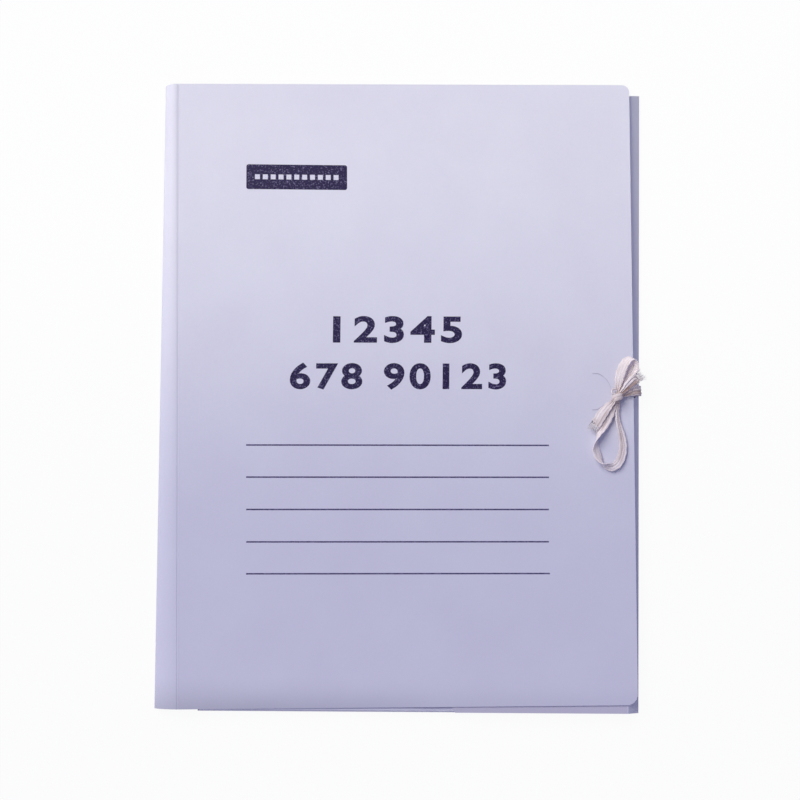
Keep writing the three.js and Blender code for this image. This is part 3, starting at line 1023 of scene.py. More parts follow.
@dataclass
class CoverPrint:
    """What is printed on the cover: a bar with blank windows, plain numbers and five rules."""

    film: float = 0.02  # the ink's face above the card
    bar_corners: tuple[Pair, ...] = ((41.9, 275.6), (92.9, 275.9), (93.1, 263.2), (42.0, 262.9))
    bar_round: float = 1.1
    windows: int = 11
    window_size: float = 2.5
    window_margin: float = 0.11  # from the bar's ends to the outer windows, as a share of the bar
    rule_left: tuple[float, ...] = (44.0, 44.2, 44.5, 44.8, 45.0)
    rule_right: tuple[float, ...] = (196.5, 196.6, 196.6, 196.7, 197.3)
    rule_low: tuple[float, ...] = (133.2, 117.1, 100.9, 84.7, 68.8)
    rule_rise: float = 1.55
    rule_width: float = 0.75
    rows: tuple[tuple[str, float, float, float, float], ...] = (
        ("12345", 86.8, 152.1, 185.2, 13.7), ("678 90123", 65.4, 174.6, 161.3, 13.7))
    row_tilt: float = math.radians(0.65)
    digit_weight: float = 0.03
    digit_spacing: float = 1.22
    digit_steps: int = 6

    def build(self) -> list[bpy.types.Object]:
        """Builds the whole print.

        Returns:
            The printed pieces, riding on the cover.
        """
        pieces = [self.bar(), self.bar_windows(), self.rules(), *map(self.number_row, self.rows)]
        for piece in pieces:
            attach(piece, Body.COVER.value)
        return pieces

    def bar_size(self) -> Pair:
        """The bar's width and height."""
        return (self.bar_corners[1][0] - self.bar_corners[0][0],
                self.bar_corners[0][1] - self.bar_corners[3][1])

    def bar_point(self, u: float, v: float, lift: float) -> Vector:
        """A point of the bar: u from 0 at its left to 1, v from 0 at its bottom to 1."""
        top_left, top_right, low_right, low_left = (Vector(corner) for corner in self.bar_corners)
        spot = low_left.lerp(low_right, u).lerp(top_left.lerp(top_right, u), v)
        return PLAN.on_cover(spot.x, spot.y, lift)

    def bar(self) -> bpy.types.Object:
        """Models the solid bar with its rounded corners."""
        width, height = self.bar_size()
        arc = [self.bar_round * (1 - math.cos(math.radians(s))) for s in spread(0, 90, 5)]
        straight = spread(self.bar_round, width - self.bar_round, 20)[1:-1]
        across = arc + straight + [width - s for s in arc[::-1]]

        def point(a: float, share: float) -> Vector:
            """A point of the bar."""
            inset = corner_inset(max(a, width - a), width, self.bar_round)
            return self.bar_point(a / width, mix(inset, height - inset, share) / height, self.film)

        piece = grid_piece("printed_bar", across, spread(0, 1, 8), point)
        piece.data.materials.append(SHELF.get(PLATE_INK))
        return piece

    def bar_windows(self) -> bpy.types.Object:
        """Models the row of blank square windows on the bar."""
        width, height = self.bar_size()
        sides = [-self.window_size / 2, self.window_size / 2]
        made = []
        margin = width * self.window_margin
        for centre in spread(margin, width - margin, self.windows - 1):
            def point(a: float, b: float, centre: float = centre) -> Vector:
                """A point of one window."""
                return self.bar_point((centre + a) / width, 0.5 + b / height, 2 * self.film)
            made.append(grid_piece("printed_window", sides, sides, point))
        return join(made, "printed_windows", BLANK_INK)

    def rules(self) -> bpy.types.Object:
        """Models the five ruled lines."""
        sides = [-self.rule_width / 2, self.rule_width / 2]
        made = []
        for left, right, low in zip(self.rule_left, self.rule_right, self.rule_low):
            def point(u: float, across: float, left: float = left, right: float = right,
                      low: float = low) -> Vector:
                """A point of one rule."""
                return PLAN.on_cover(mix(left, right, u), low + self.rule_rise * u + across, self.film)
            made.append(grid_piece("printed_rule", spread(0, 1, 60), sides, point))
        return join(made, "printed_rules", LINE_INK)

    def number_row(self, row: tuple[str, float, float, float, float]) -> bpy.types.Object:
        """Models one row of plain numbers.

        Args:
            row: The digits, the row's left and right ends, its foot and its height, in millimetres.

        Returns:
            The row as one flat piece on the cover.
        """
        words, left, right, foot, height = row
        deselect()
        bpy.ops.object.text_add()
        text = bpy.context.object
        text.data.body = words
        text.data.offset = self.digit_weight
        text.data.space_character = self.digit_spacing
        text.data.resolution_u = self.digit_steps
        bpy.ops.object.convert(target="MESH")
        piece = bpy.context.object
        piece.name = f"printed_numbers_{words[0]}"
        spots = [vertex.co.copy() for vertex in piece.data.vertices]
        low = Vector((min(s.x for s in spots), min(s.y for s in spots)))
        high = Vector((max(s.x for s in spots), max(s.y for s in spots)))
        for vertex, spot in zip(piece.data.vertices, spots):
            x = mix(left, right, (spot.x - low.x) / (high.x - low.x))
            y = foot + height * (spot.y - low.y) / (high.y - low.y) + (x - left) * math.tan(self.row_tilt)
            vertex.co = PLAN.on_cover(x, y, self.film)
        piece.data.materials.clear()
        piece.data.materials.append(SHELF.get(PLATE_INK))
        return piece


# The ties


def catmull(rows: Sequence[Row], step: float) -> list[Row]:
    """Samples a smooth curve through the rows of a route.

    Args:
        rows: Points of the route with the tape's tilt and width there.
        step: The distance between samples in millimetres.

    Returns:
        The sampled rows.
    """
    samples: list[Row] = []
    last = len(rows) - 1
    for index in range(last):
        before, start = rows[max(0, index - 1)], rows[index]
        end, after = rows[index + 1], rows[min(last, index + 2)]
        count = max(1, round(math.dist(start[:3], end[:3]) / step))
        for part in range(count + (index == last - 1)):
            t = part / count
            samples.append(tuple(
                0.5 * (2 * s + (e - b) * t + (2 * b - 5 * s + 4 * e - a) * t * t
                       + (3 * s - b - 3 * e + a) * t ** 3)
                for b, s, e, a in zip(before, start, end, after)))
    return samples


KNOT_AT = Vector((230.6, 159.4, 11.6))


@dataclass(frozen=True)
class Slice:
    """One place along a tape."""

    centre: Vector
    tangent: Vector
    across: Vector
    width: float
    travelled: float
    share: float  # how much of the tape's length lies before it
    opened: float  # 0 where the tape is whole and 1 at its open end


@dataclass
class TapeShape:
    """A woven tape: its yarns lie side by side, and its edges wander a little."""

    thickness: float = 0.62
    yarns: int = 9
    points_per_yarn: int = 3
    ridge: float = 0.10
    step: float = 0.8
    least_width: float = 1.2
    gathered: float = 0.9  # how much thicker a drawn-in tape is
    bow: float = 0.22  # how far a drawn-in tape arches across its width, as a share of the width
    open_end: float = 5.0  # the tape thins out and its yarns part over this length
    thinned: float = 0.6
    ragged: Pair = (-3.0, 1.6)  # how much shorter or longer its yarns end
    edge_wander: float = 0.16
    wander_rate: float = 1.9
    rim: float = 0.35  # its edges' thickness, as a share of its middle's
    easing: float = 1.2  # how strongly its tilt follows the tilt before
    pleats: float = 19.0
    pleat_drift: float = 0.12
    crumple: float = 0.04  # the least depth of its lengthwise pleats
    worn_crumple: float = 0.07
    gathered_crumple: float = 0.34
    worn: tuple[Worn, ...] = ()
    worn_fade: float = 0.03
    # how strongly brownish shade is painted along a worn stretch's stripe
    stripe_shade: float = 0.4
    stripe_width: float = 0.24
    near_knot_shade: Pair = (1.0, 9.0)  # painted brownish shade is strongest up to the first distance from the knot

    def wear(self, along: float) -> Pair:
        """How worn the tape is at a share of its length, from 0 to 1, and where its stripe of painted shade
        lies.
        """
        fade = self.worn_fade
        worn = []
        for start, end, stripe in self.worn:
            begun = smooth(start - fade, start + fade, along)
            over = smooth(end - fade, end + fade, along)
            worn.append((begun * (1 - over), stripe))
        return max(worn, default=(0.0, 0.5))

    def painted_shade_share(self, spot: Vector, v: float, wear: float, stripe: float) -> float:
        """How much brownish shade is painted on the cotton: most near the knot, and along one stripe.

        Args:
            spot: The point, in the drawing.
            v: How far across the tape it is, from 0 to 1.
            wear: How worn the tape is there, from 0 to 1.
            stripe: Where across the tape its stripe of painted shade lies.

        Returns:
            A share from 0 to 1.
        """
        near_knot_shade = 1 - smooth(*self.near_knot_shade, (spot - KNOT_AT).length)
        tan = math.exp(-((v - stripe) / self.stripe_width) ** 2)
        return min(1.0, 0.5 * near_knot_shade + self.stripe_shade * tan * wear)

    def mesh(self, name: str, rows: Sequence[Row], seed: int) -> tuple[bpy.types.Object, list[Vector]]:
        """Models the tape along a route.

        Args:
            name: The piece's name.
            rows: The route.
            seed: Sets how the edges wander.

        Returns:
            The piece and the line that it follows, in the frame, in metres.
        """
        chance = random.Random(seed)
        samples = catmull(rows, self.step)
        centres = [Vector(sample[:3]) for sample in samples]
        wander = [chance.uniform(0, 6.28) for _ in range(4)]
        ragged = [chance.uniform(*self.ragged) for _ in range(self.yarns + 1)]
        whole = path_length(centres)
        vertices: list[Vector] = []
        marks: list[Pair] = []
        soil: list[float] = []
        across: Vector | None = None
        travelled = 0.0
        for index, (centre, sample) in enumerate(zip(centres, samples)):
            tangent = heading(centres, index)
            travelled += (centre - centres[max(index - 1, 0)]).length
            across = self.across(tangent, sample[3], across)
            place = Slice(centre, tangent, across, max(self.least_width, sample[4]), travelled,
                          travelled / whole, smooth(whole - self.open_end, whole, travelled))
            for v, vertex, tan in self.ring(place, wander, ragged):
                vertices.append(PLAN.at(*vertex))
                marks.append((travelled, v * TAPE_WIDTH))
                soil.append(tan)
        piece = mesh_piece(name, vertices, tube_faces(len(centres), len(vertices) // len(centres)))
        unwrap(piece, marks, soil)
        return piece, [PLAN.at(*centre) for centre in centres]

    def ring(self, at: Slice, wander: Sequence[float],
             ragged: Sequence[float]) -> list[tuple[float, Vector, float]]:
        """The points round the tape at one place, over its upper face and back under it.

        Args:
            at: The place.
            wander: Where the waves of its edges and pleats start.
            ragged: How much longer or shorter than the tape each yarn is at its open end.

        Returns:
            For each point how far across the tape it is, where it is and how much brownish shade is painted
            on it.
        """
        face = at.tangent.cross(at.across).normalized()
        drawn = 1 - min(1.0, at.width / TAPE_WIDTH)
        wear, stripe = self.wear(at.share)
        crumple = max(self.crumple, self.worn_crumple * wear, self.gathered_crumple * drawn)
        shares = spread(0, 1, self.yarns * self.points_per_yarn)
        points = []
        for side, v in [*((1, share) for share in shares), *((-1, 1 - share) for share in shares)]:
            off = v - 0.5
            edge = self.edge_wander * math.sin(at.travelled * self.wander_rate + wander[0 if off < 0 else 1])
            offset = off * at.width + edge * (2 * abs(off)) ** 3 * (1 if off > 0 else -1)
            yarn = abs(math.sin(math.pi * v * self.yarns))
            rim = math.sqrt(max(0.0, 1 - (2 * abs(off)) ** 6))
            thick = self.thickness / 2 * (1 + self.gathered * drawn) * mix(self.rim, 1, rim)
            thick *= 1 - self.thinned * at.opened
            pleat = crumple * math.sin(v * self.pleats + wander[2] + at.travelled * self.pleat_drift)
            arch = self.bow * drawn * at.width * (0.5 - 2 * off ** 2)
            lift = side * (thick - self.ridge * (1 - yarn)) + pleat + arch
            torn = at.tangent * (ragged[int(v * self.yarns)] * at.opened)
            points.append((v, at.centre + at.across * offset + face * lift + torn,
                           self.painted_shade_share(at.centre, v, wear, stripe)))
        return points

    def across(self, tangent: Vector, tilt: float, before: Vector | None) -> Vector:
        """The direction across the tape: level, turned about the tape, and eased from the last one.

        Args:
            tangent: The tape's direction.
            tilt: Its tilt in degrees.
            before: The direction across it at the place before.

        Returns:
            The direction.
        """
        across = Vector((-tangent.y, tangent.x, 0))
        if across.length < 0.3:
            across = Vector((0, 1, 0))
        turned = across.normalized()
        turned.rotate(Matrix.Rotation(math.radians(tilt), 3, tangent))
        if before is None:
            return turned
        if turned.dot(before) < 0:
            turned.negate()
        eased = (turned + before * self.easing).normalized()
        return (eased - tangent * eased.dot(tangent)).normalized()


def tube_faces(rings: int, corners: int) -> list[tuple[int, ...]]:
    """The faces of a tube that is closed at both ends.

    Args:
        rings: How many rings of points it has.
        corners: How many points a ring has.

    Returns:
        The point numbers of each face.
    """
    faces: list[tuple[int, ...]] = []
    for low in range(0, (rings - 1) * corners, corners):
        for corner in range(corners):
            after = (corner + 1) % corners
            high = low + corners
            faces.append((low + corner, low + after, high + after, high + corner))
    last = (rings - 1) * corners
    return [*faces, tuple(reversed(range(corners))), tuple(range(last, last + corners))]


def mesh_piece(name: str, vertices: Sequence[Vector], faces: Sequence[Sequence[int]]) -> bpy.types.Object:
    """Makes a piece from its points and faces, with its normals outwards.

    Args:
        name: The piece's name.
        vertices: Points in the frame, in metres.
        faces: Point numbers of each face.

    Returns:
        The new piece.
    """
    data = bpy.data.meshes.new(name)
    data.from_pydata([tuple(vertex) for vertex in vertices], [], [tuple(face) for face in faces])
    piece = bpy.data.objects.new(name, data)
    bpy.context.scene.collection.objects.link(piece)
    activate(piece)
    bpy.ops.object.mode_set(mode="EDIT")
    bpy.ops.mesh.select_all(action="SELECT")
    bpy.ops.mesh.normals_make_consistent(inside=False)
    bpy.ops.object.mode_set(mode="OBJECT")
    return piece


def unwrap(piece: bpy.types.Object, marks: Sequence[Pair],
           soil: Sequence[float] | None = None) -> None:
    """Writes a tape's UV maps.

    Args:
        piece: The tape.
        marks: How far along and across the tape each of its points is, in millimetres.
        soil: How much brownish shade is painted on the cotton at each point, from 0 to 1, where it has any.
    """
    layer = piece.data.uv_layers.new(name="tape")
    for loop in piece.data.loops:
        layer.data[loop.index].uv = marks[loop.vertex_index]
    if soil:
        tan = piece.data.uv_layers.new(name="soil")
        for loop in piece.data.loops:
            tan.data[loop.index].uv = (soil[loop.vertex_index], 0.0)


def dress_cotton(piece: bpy.types.Object, finish: CottonTape | Ink) -> None:
    """Gives a tape or yarn its finish."""
    piece.data.materials.append(SHELF.get(finish))
    smooth_by_angle(piece, 60)


def strand(points: Sequence[Vector], radius: float, sides: int) -> list[Vector]:
    """The points round one tapering thread.

    Args:
        points: Its line, in the drawing, in millimetres.
        radius: Its radius at its root.
        sides: How many sides its section has.

    Returns:
        Points in the drawing.
    """
    vertices = []
    for index, point in enumerate(points):
        tangent = heading(points, index)
        side = tangent.cross(Vector((0.2, 0.3, 1))).normalized()
        other = tangent.cross(side)
        thin = radius * (1 - 0.75 * index / (len(points) - 1))
        for turn in range(sides):
            angle = 2 * math.pi * turn / sides
            vertices.append(point + side * (thin * math.cos(angle)) + other * (thin * math.sin(angle)))
    return vertices


def thread_piece(name: str, lines: Sequence[Sequence[Vector]], radius: float, finish: CottonTape | Ink,
                 sides: int = 6) -> bpy.types.Object:
    """Makes one piece of several threads.

    Args:
        name: The piece's name.
        lines: Each thread's line, in the drawing, in millimetres.
        radius: The threads' radius at their roots.
        finish: What they are made of.
        sides: How many sides a thread's section has.

    Returns:
        The new piece, with the tapes' UV map.
    """
    vertices, faces, marks = [], [], []
    for number, line in enumerate(lines):
        own = strand(line, radius, sides)
        faces += [tuple(len(vertices) + corner for corner in face) for face in tube_faces(len(line), sides)]
        vertices += [PLAN.at(*point) for point in own]
        marks += [(index * 0.3, number * COTTON.yarn_mm) for index in range(len(own))]
    piece = mesh_piece(name, vertices, faces)
    unwrap(piece, marks)
    dress_cotton(piece, finish)
    return piece


@dataclass
class Frayed:
    """The frayed end of a tape: its yarns come loose and spread."""

    name: str
    end: Point
    direction: Point
    across: Point
    width: float
    length: float
    count: int
    spread: float
    seed: int
    radius: float = 0.17
    root: float = 1.6  # how far back in the tape the yarns start
    loft: float = 0.24
    shortest: float = 0.4  # the shortest yarn, as a share of the longest
    stray: float = 0.12
    droop: Pair = (-0.05, 0.03)  # how far a yarn's tip falls or rises, as a share of its length
    curl: float = 0.49
    steps: int = 7

    def build(self) -> bpy.types.Object:
        """Models the loose yarns.

        Returns:
            All the yarns as one piece.
        """
        chance = random.Random(self.seed)
        ahead, side = Vector(self.direction).normalized(), Vector(self.across).normalized()
        lines = []
        for number in range(self.count):
            share = (number + 0.5) / self.count - 0.5
            root = Vector(self.end) + side * (share * self.width) - ahead * self.root
            root.z += chance.uniform(0.0, self.loft)
            reach = self.length * chance.uniform(self.shortest, 1.0) + self.root
            lean = side * (share * self.spread + chance.uniform(-self.stray, self.stray))
            fall = Vector((0, 0, chance.uniform(*self.droop) * reach))
            curl = side * chance.uniform(-self.curl, self.curl)
            lines.append([root + (ahead + lean * t).normalized() * (reach * t) + (curl + fall) * t * t
                          for t in spread(0, 1, self.steps)])
        return thread_piece(self.name, lines, self.radius, PAINTED_LIGHT_YARN)


@dataclass
class Knot:
    """The knot: one tape wound tight round the others, crossing over itself."""

    points_to: float = math.radians(92)  # the way its barrel points, from X towards Y
    turns: float = 2.3
    first_angle: float = -1.4
    radius: float = 1.8
    flattened: float = 1.3  # how much wider than high the barrel is
    pitch: float = 1.178  # how far it moves along the barrel in a turn
    swing: float = 0.5  # how far it swings to and fro along the barrel in a turn
    half_width: float = 1.22
    half_thick: float = 0.46
    crimp: float = 0.10
    steps: int = 60
    corners: int = 24
    # painted brownish shade over the whole knot
    tan: float = 0.35

    def build(self) -> bpy.types.Object:
        """Models the tape that lies round the barrel.

        Returns:
            The knot, riding on the cover.
        """
        along = Vector((math.cos(self.points_to), math.sin(self.points_to), 0))
        side = Vector((-along.y, along.x, 0))
        up = Vector((0, 0, 1))
        reach = self.pitch * self.turns
        vertices, marks = [], []
        travelled, before = 0.0, None
        for t in spread(0, 1, self.steps):
            angle = 2 * math.pi * self.turns * t + self.first_angle
            spot = (KNOT_AT + along * ((t - 0.5) * reach - self.swing * math.cos(angle))
                    + side * (self.radius * self.flattened * math.cos(angle))
                    + up * (self.radius * math.sin(angle)))
            travelled += (spot - (before or spot)).length
            before = spot
            outward = side * math.cos(angle) + up * math.sin(angle)
            for corner in range(self.corners):
                turn = 2 * math.pi * corner / self.corners
                thick = self.half_thick * (1 + self.crimp * math.cos(turn * 6))
                vertices.append(PLAN.at(*(spot + along * (self.half_width * math.cos(turn))
                                          + outward * (thick * math.sin(turn)))))
                marks.append((travelled, TAPE_WIDTH / 2 * (1 + math.cos(turn))))
        piece = mesh_piece("tied_knot", vertices, tube_faces(self.steps + 1, self.corners))
        unwrap(piece, marks, [self.tan] * len(marks))
        dress_cotton(piece, COTTON)
        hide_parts("bow_knot")
        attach(piece, Body.COVER.value)
        return piece


def lay_weave(piece: bpy.types.Object, steepness: float = 0.0) -> None:
    """Writes the tape's UV map of a flat run whose yarns lie along X.

    Args:
        piece: The run of tape.
        steepness: How much its height counts along the yarns.
    """
    layer = piece.data.uv_layers.get("tape") or piece.data.uv_layers.new(name="tape")
    for loop in piece.data.loops:
        spot = piece.data.vertices[loop.vertex_index].co / MM
        layer.data[loop.index].uv = (spot.x + steepness * spot.z, spot.y)


@dataclass
class InnerEnd:
    """A tie's inner end, glued flat to the card under a paper patch."""

    tie: str
    body: Body
    place: Place
    run: Pair  # where the tape starts and ends in the panel's first parameter
    middle: float  # the tape's middle in its second
    patch_start: float  # how far the patch reaches back past the tape's start
    patch_past: float = 5.0
    tape_thickness: float = 0.36
    tape_depth: float = 0.16
    paper_thickness: float = 0.12
    paper_depth: float = 0.10
    paper_step: float = 0.52  # how far the tape lifts the paper
    drape: float = 2.2
    tuck: float = 0.2

    def build(self) -> list[bpy.types.Object]:
        """Models the glued tape and the patch over it.

        Returns:
            The tape and the patch.
        """
        return [self.tape(), self.patch()]

    def sheet(self, name: str, across: Sequence[float], up: Sequence[float],
              depth: Callable[[float, float], float]) -> bpy.types.Object:
        """Models a sheet under the panel.

        Args:
            name: The sheet's name.
            across: Its stations in the panel's first parameter.
            up: Its stations to both sides of the tape's middle.
            depth: How far under the panel's face a point lies, in millimetres.

        Returns:
            The sheet, a single surface.
        """
        def point(a: float, b: float) -> Vector:
            """A point of the sheet."""
            spot = self.place(a, self.middle + b)
            return PLAN.at(spot.x, spot.y, spot.z - PLAN.thickness / 2 - depth(a, b))

        return grid_piece(name, across, up, point)

    def tape(self) -> bpy.types.Object:
        """Models the glued end of the tape."""
        half = TAPE_WIDTH / 2
        piece = self.sheet(f"{self.tie}_glued_end", spread(*self.run, 24), spread(-half, half, 12),
                           lambda a, b: self.tape_depth)
        lay_weave(piece)
        thicken(piece, self.tape_thickness)
        dress_cotton(piece, COTTON)
        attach(piece, self.body.value)
        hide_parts(f"{self.tie}_end")
        return piece

    def patch(self) -> bpy.types.Object:
        """Models the paper patch, which drapes over the tape."""
        low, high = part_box(f"{self.tie}_patch")
        half = (high.y - low.y) / MM / 2
        way = 1 if self.run[1] > self.run[0] else -1
        edge = TAPE_WIDTH / 2

        def depth(a: float, b: float) -> float:
            """How far under the panel's face the paper lies."""
            beside = 1 - smooth(edge - self.tuck, edge + self.drape, abs(b))
            past = 1 - smooth(0, self.drape, (a - self.run[1]) * way)
            return self.paper_depth + self.paper_step * beside * past

        across = spread(self.run[0] - way * self.patch_start, self.run[1] + way * self.patch_past, 40)
        piece = self.sheet(f"{self.tie}_paper_patch", across, spread(-half, half, 40), depth)
        piece.data.materials.append(SHELF.get(PATCH_PAPER))
        thicken(piece, self.paper_thickness)
        smooth_by_angle(piece)
        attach(piece, self.body.value)
        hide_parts(f"{self.tie}_patch")
        return piece


@dataclass
class Ties:
    """The two cotton ties, the knot that holds them and their glued inner ends."""

    front_lead: tuple[Row, ...] = (
        (231.0, 159.5, 7.75, 0, 5.0), (231.0, 159.5, 8.3, 0, 4.2), (231.0, 159.5, 8.8, 0, 3.2))
    front_in: tuple[Row, ...] = (
        (231.0, 159.6, 10.2, 0, 2.6), (230.6, 159.0, 11.2, 10, 2.2), (229.6, 157.2, 11.2, 20, 2.0))
    front_loop: tuple[Row, ...] = (
        (229.0, 155.6, 10.9, 20, 2.4), (227.8, 153.1, 10.5, 12, 4.2), (226.4, 150.3, 10.2, 8, 5.2),
        (224.9, 147.4, 10.1, 8, 5.5), (223.1, 144.2, 10.1, 24, 5.1), (221.5, 140.9, 10.3, 66, 4.5),
        (220.5, 137.1, 10.2, 118, 4.4), (220.1, 133.3, 9.9, 148, 4.8), (221.1, 129.6, 9.9, 146, 4.8),
        (222.9, 126.6, 10.2, 104, 4.6), (225.3, 124.7, 10.0, 34, 4.4), (228.5, 124.1, 9.7, 6, 4.3),
        (231.5, 126.2, 9.5, 2, 4.4), (233.2, 130.0, 9.4, 6, 4.4), (233.9, 134.6, 9.4, 12, 4.2),
        (233.5, 139.1, 9.5, 18, 3.9), (232.4, 143.4, 9.6, 26, 3.4), (231.3, 147.4, 9.8, 38, 3.0),
        (230.9, 151.2, 9.8, 40, 2.4), (231.2, 154.6, 9.9, 35, 2.0))
    front_through: tuple[Row, ...] = (
        (231.3, 157.2, 10.2, 20, 2.0), (231.0, 159.3, 11.2, 0, 2.0), (229.9, 159.6, 12.5, 10, 2.0),
        (228.8, 158.0, 12.8, 15, 2.0))
    front_tail: tuple[Row, ...] = (
        (227.9, 156.5, 12.4, 15, 2.8), (225.4, 153.9, 11.7, 12, 4.4), (222.9, 150.6, 11.1, 10, 5.2),
        (220.6, 146.8, 10.8, 6, 5.2), (218.8, 143.9, 10.5, 4, 5.0))
    back_lead: tuple[Row, ...] = (
        (240.77, 162.7, 2.7, 0, 5.0), (242.3, 162.8, 4.4, 0, 5.0), (243.2, 163.0, 6.6, 0, 5.0),
        (242.2, 163.1, 8.8, 0, 5.0), (239.3, 162.6, 9.7, 0, 4.6), (236.7, 161.6, 9.8, 0, 3.6),
        (234.6, 160.7, 10.2, 0, 2.4))
    back_in: tuple[Row, ...] = (
        (232.2, 160.0, 10.9, 0, 2.0), (230.9, 160.2, 11.3, -5, 2.0), (230.8, 161.8, 11.2, -5, 2.0))
    back_loop: tuple[Row, ...] = (
        (230.9, 163.4, 11.2, -5, 2.4), (231.1, 166.2, 11.7, -5, 3.8), (231.7, 169.8, 12.3, -8, 4.6),
        (232.9, 173.8, 12.7, -14, 4.8), (235.0, 177.4, 12.6, -34, 4.6), (237.5, 179.1, 12.2, -66, 4.4),
        (239.5, 178.2, 11.4, -106, 4.8), (239.7, 175.7, 10.5, -142, 5.5), (238.6, 172.7, 9.9, -162, 5.7),
        (236.9, 169.8, 9.8, -165, 5.3), (235.4, 167.3, 9.8, -162, 4.3), (234.2, 165.3, 9.9, -152, 3.0),
        (233.2, 163.8, 10.1, -145, 2.0))
    back_through: tuple[Row, ...] = (
        (231.9, 162.2, 10.6, -160, 2.0), (230.9, 160.8, 11.5, -190, 2.0), (231.7, 161.0, 12.6, -170, 2.0))
    back_tail: tuple[Row, ...] = (
        (233.5, 162.7, 13.0, -160, 2.6), (235.4, 164.8, 13.2, -162, 4.2), (238.0, 167.2, 13.2, -165, 5.2),
        (240.9, 169.5, 12.9, -170, 5.5), (241.8, 170.3, 12.8, -172, 5.6))
    front_worn: tuple[Worn, ...] = ((0.03, 0.2, 0.5), (0.48, 0.72, 0.35), (0.88, 1.1, 0.25))
    back_worn: tuple[Worn, ...] = ((0.0, 0.2, 0.35), (0.8, 1.0, 0.75))
    curl_route: tuple[Point, ...] = (
        (229.6, 160.4, 12.6), (228.3, 161.0, 12.5), (227.7, 162.1, 12.6), (228.2, 163.2, 12.8),
        (229.3, 163.3, 12.9), (230.1, 162.4, 12.7), (230.4, 161.2, 12.5))
    curl_radius: float = 0.8
    curl_step: float = 0.4
    fibre_routes: tuple[tuple[Pair, ...], ...] = (
        ((218.4, 171.4), (220.5, 171.4), (222.6, 170.8), (226.0, 167.9), (227.9, 163.9)),
        ((218.4, 153.0), (221.0, 153.3), (223.9, 155.2), (226.3, 157.1)))
    fibre_radius: float = 0.14
    fibre_step: float = 0.5
    fibre_lift: float = 0.10
    glued_length: float = 17.0
    fallen_share: float = 0.07  # how much of its height the back tie keeps on the table
    card_to_tape: float = 0.45  # from the card's middle to the tape's where it lies against it
    bend_thickness: float = 0.3

    def build(self) -> list[bpy.types.Object]:
        """Builds both ties, the knot, the frayed ends and the glued inner ends.

        Returns:
            The pieces.
        """
        knot = Knot().build()
        front = self.front_tie(knot)
        back = self.back_tie()
        return [*front, *back, knot, self.curl(), *self.inner_ends(), self.inner_bend(), self.fibres()]

    def front_tie(self, knot: bpy.types.Object) -> list[bpy.types.Object]:
        """Models the tie that comes through the cover: the lower loop and the tail over it.

        Args:
            knot: The knot. Not used.

        Returns:
            The tape and its frayed end.
        """
        rows = (*self.front_lead, *self.front_in, *self.front_loop, *self.front_through, *self.front_tail)
        shape = TapeShape(worn=self.front_worn)
        tape, line = shape.mesh("front_tie_tape", rows, 11)
        dress_cotton(tape, COTTON)
        frayed = Frayed("front_tie_frayed_end", self.front_tail[-1][:3], (-0.50, -0.86, -0.15),
                        (-0.86, 0.50, 0.0), width=4.6, length=3.2, count=22, spread=0.20, seed=5).build()
        for piece in (tape, frayed):
            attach(piece, Body.COVER.value)
        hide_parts("front_tie_lead", "front_tie_loop", "front_tie_tail")
        return [tape, frayed]

    def back_tie(self) -> list[bpy.types.Object]:
        """Models the tie that comes through the side gusset: the upper loop and the short tail.

        Returns:
            The tape and its frayed end, which fall loose when the folder opens.
        """
        rows = (*self.back_lead, *self.back_in, *self.back_loop, *self.back_through, *self.back_tail)
        # The back tie's tail carries more painted brownish shade along its stripe.
        shape = TapeShape(worn=self.back_worn, stripe_shade=0.95, worn_crumple=0.18)
        tape, line = shape.mesh("back_tie_tape", rows, 23)
        dress_cotton(tape, COTTON)
        frayed = Frayed("back_tie_frayed_end", self.back_tail[-1][:3], (0.78, 0.62, -0.1),
                        (-0.62, 0.78, 0.0), width=5.0, length=2.6, count=26, spread=0.30, seed=9).build()
        # This way points straight down once the gusset lies open, so the tape lies flat on the table.
        for piece in (tape, frayed):
            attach(piece, Body.SIDE_WALL.value)
            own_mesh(piece)
        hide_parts("back_tie_lead", "back_tie_loop", "back_tie_tail")
        return [tape, frayed]

    def curl(self) -> bpy.types.Object:
        """Models a yarn that curls out of the knot at its upper left.

        Returns:
            The piece.
        """
        rows = catmull([(*spot, 0.0, 0.0) for spot in self.curl_route], self.curl_step)
        piece = thread_piece("knot_curl", [[Vector(row[:3]) for row in rows]], self.curl_radius, COTTON)
        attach(piece, Body.COVER.value)
        return piece

    def inner_ends(self) -> list[bpy.types.Object]:
        """Models the ties' inner ends and the patches over them.

        Returns:
            Two tape ends, each followed by its patch.
        """
        slit_a, slit_b = PLAN.front_slit
        start = PLAN.gap
        front = InnerEnd("front_tie", Body.COVER, PLAN.cover, (slit_a, slit_a - self.glued_length),
                         slit_b, patch_start=5.0)
        back = InnerEnd("back_tie", Body.SIDE_LEAF, PLAN.leaf, (start, start + self.glued_length),
                        PLAN.back_slit[1], patch_start=0.0)
        return [*front.build(), *back.build()]

    def inner_bend(self) -> bpy.types.Object:
        """Models the back tie's run inside the gusset, from its slit over the crease to the flap.

        Returns:
            The piece.
        """
        up, middle = PLAN.back_slit
        inward = Vector((-math.sin(PLAN.side_lean), 0, math.cos(PLAN.side_lean)))
        start = PLAN.gusset(up, middle) + inward * self.card_to_tape
        corner = PLAN.leaf(PLAN.gap, middle) + Vector((-0.2, 0, -0.42))
        stop = PLAN.leaf(2.2, middle) - Vector((0, 0, 0.41))
        half = TAPE_WIDTH / 2

        def point(t: float, b: float) -> Vector:
            """A point of the bend."""
            spot = rounded(start, corner, stop, t)
            return PLAN.at(spot.x, spot.y + b, spot.z)

        piece = grid_piece("back_tie_inner_bend", spread(0, 1, 12), spread(-half, half, 10), point)
        lay_weave(piece, 1.0)
        thicken(piece, self.bend_thickness)
        dress_cotton(piece, COTTON)
        point(0.2, 0)
        point(0.8, 0)
        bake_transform(piece)
        return piece

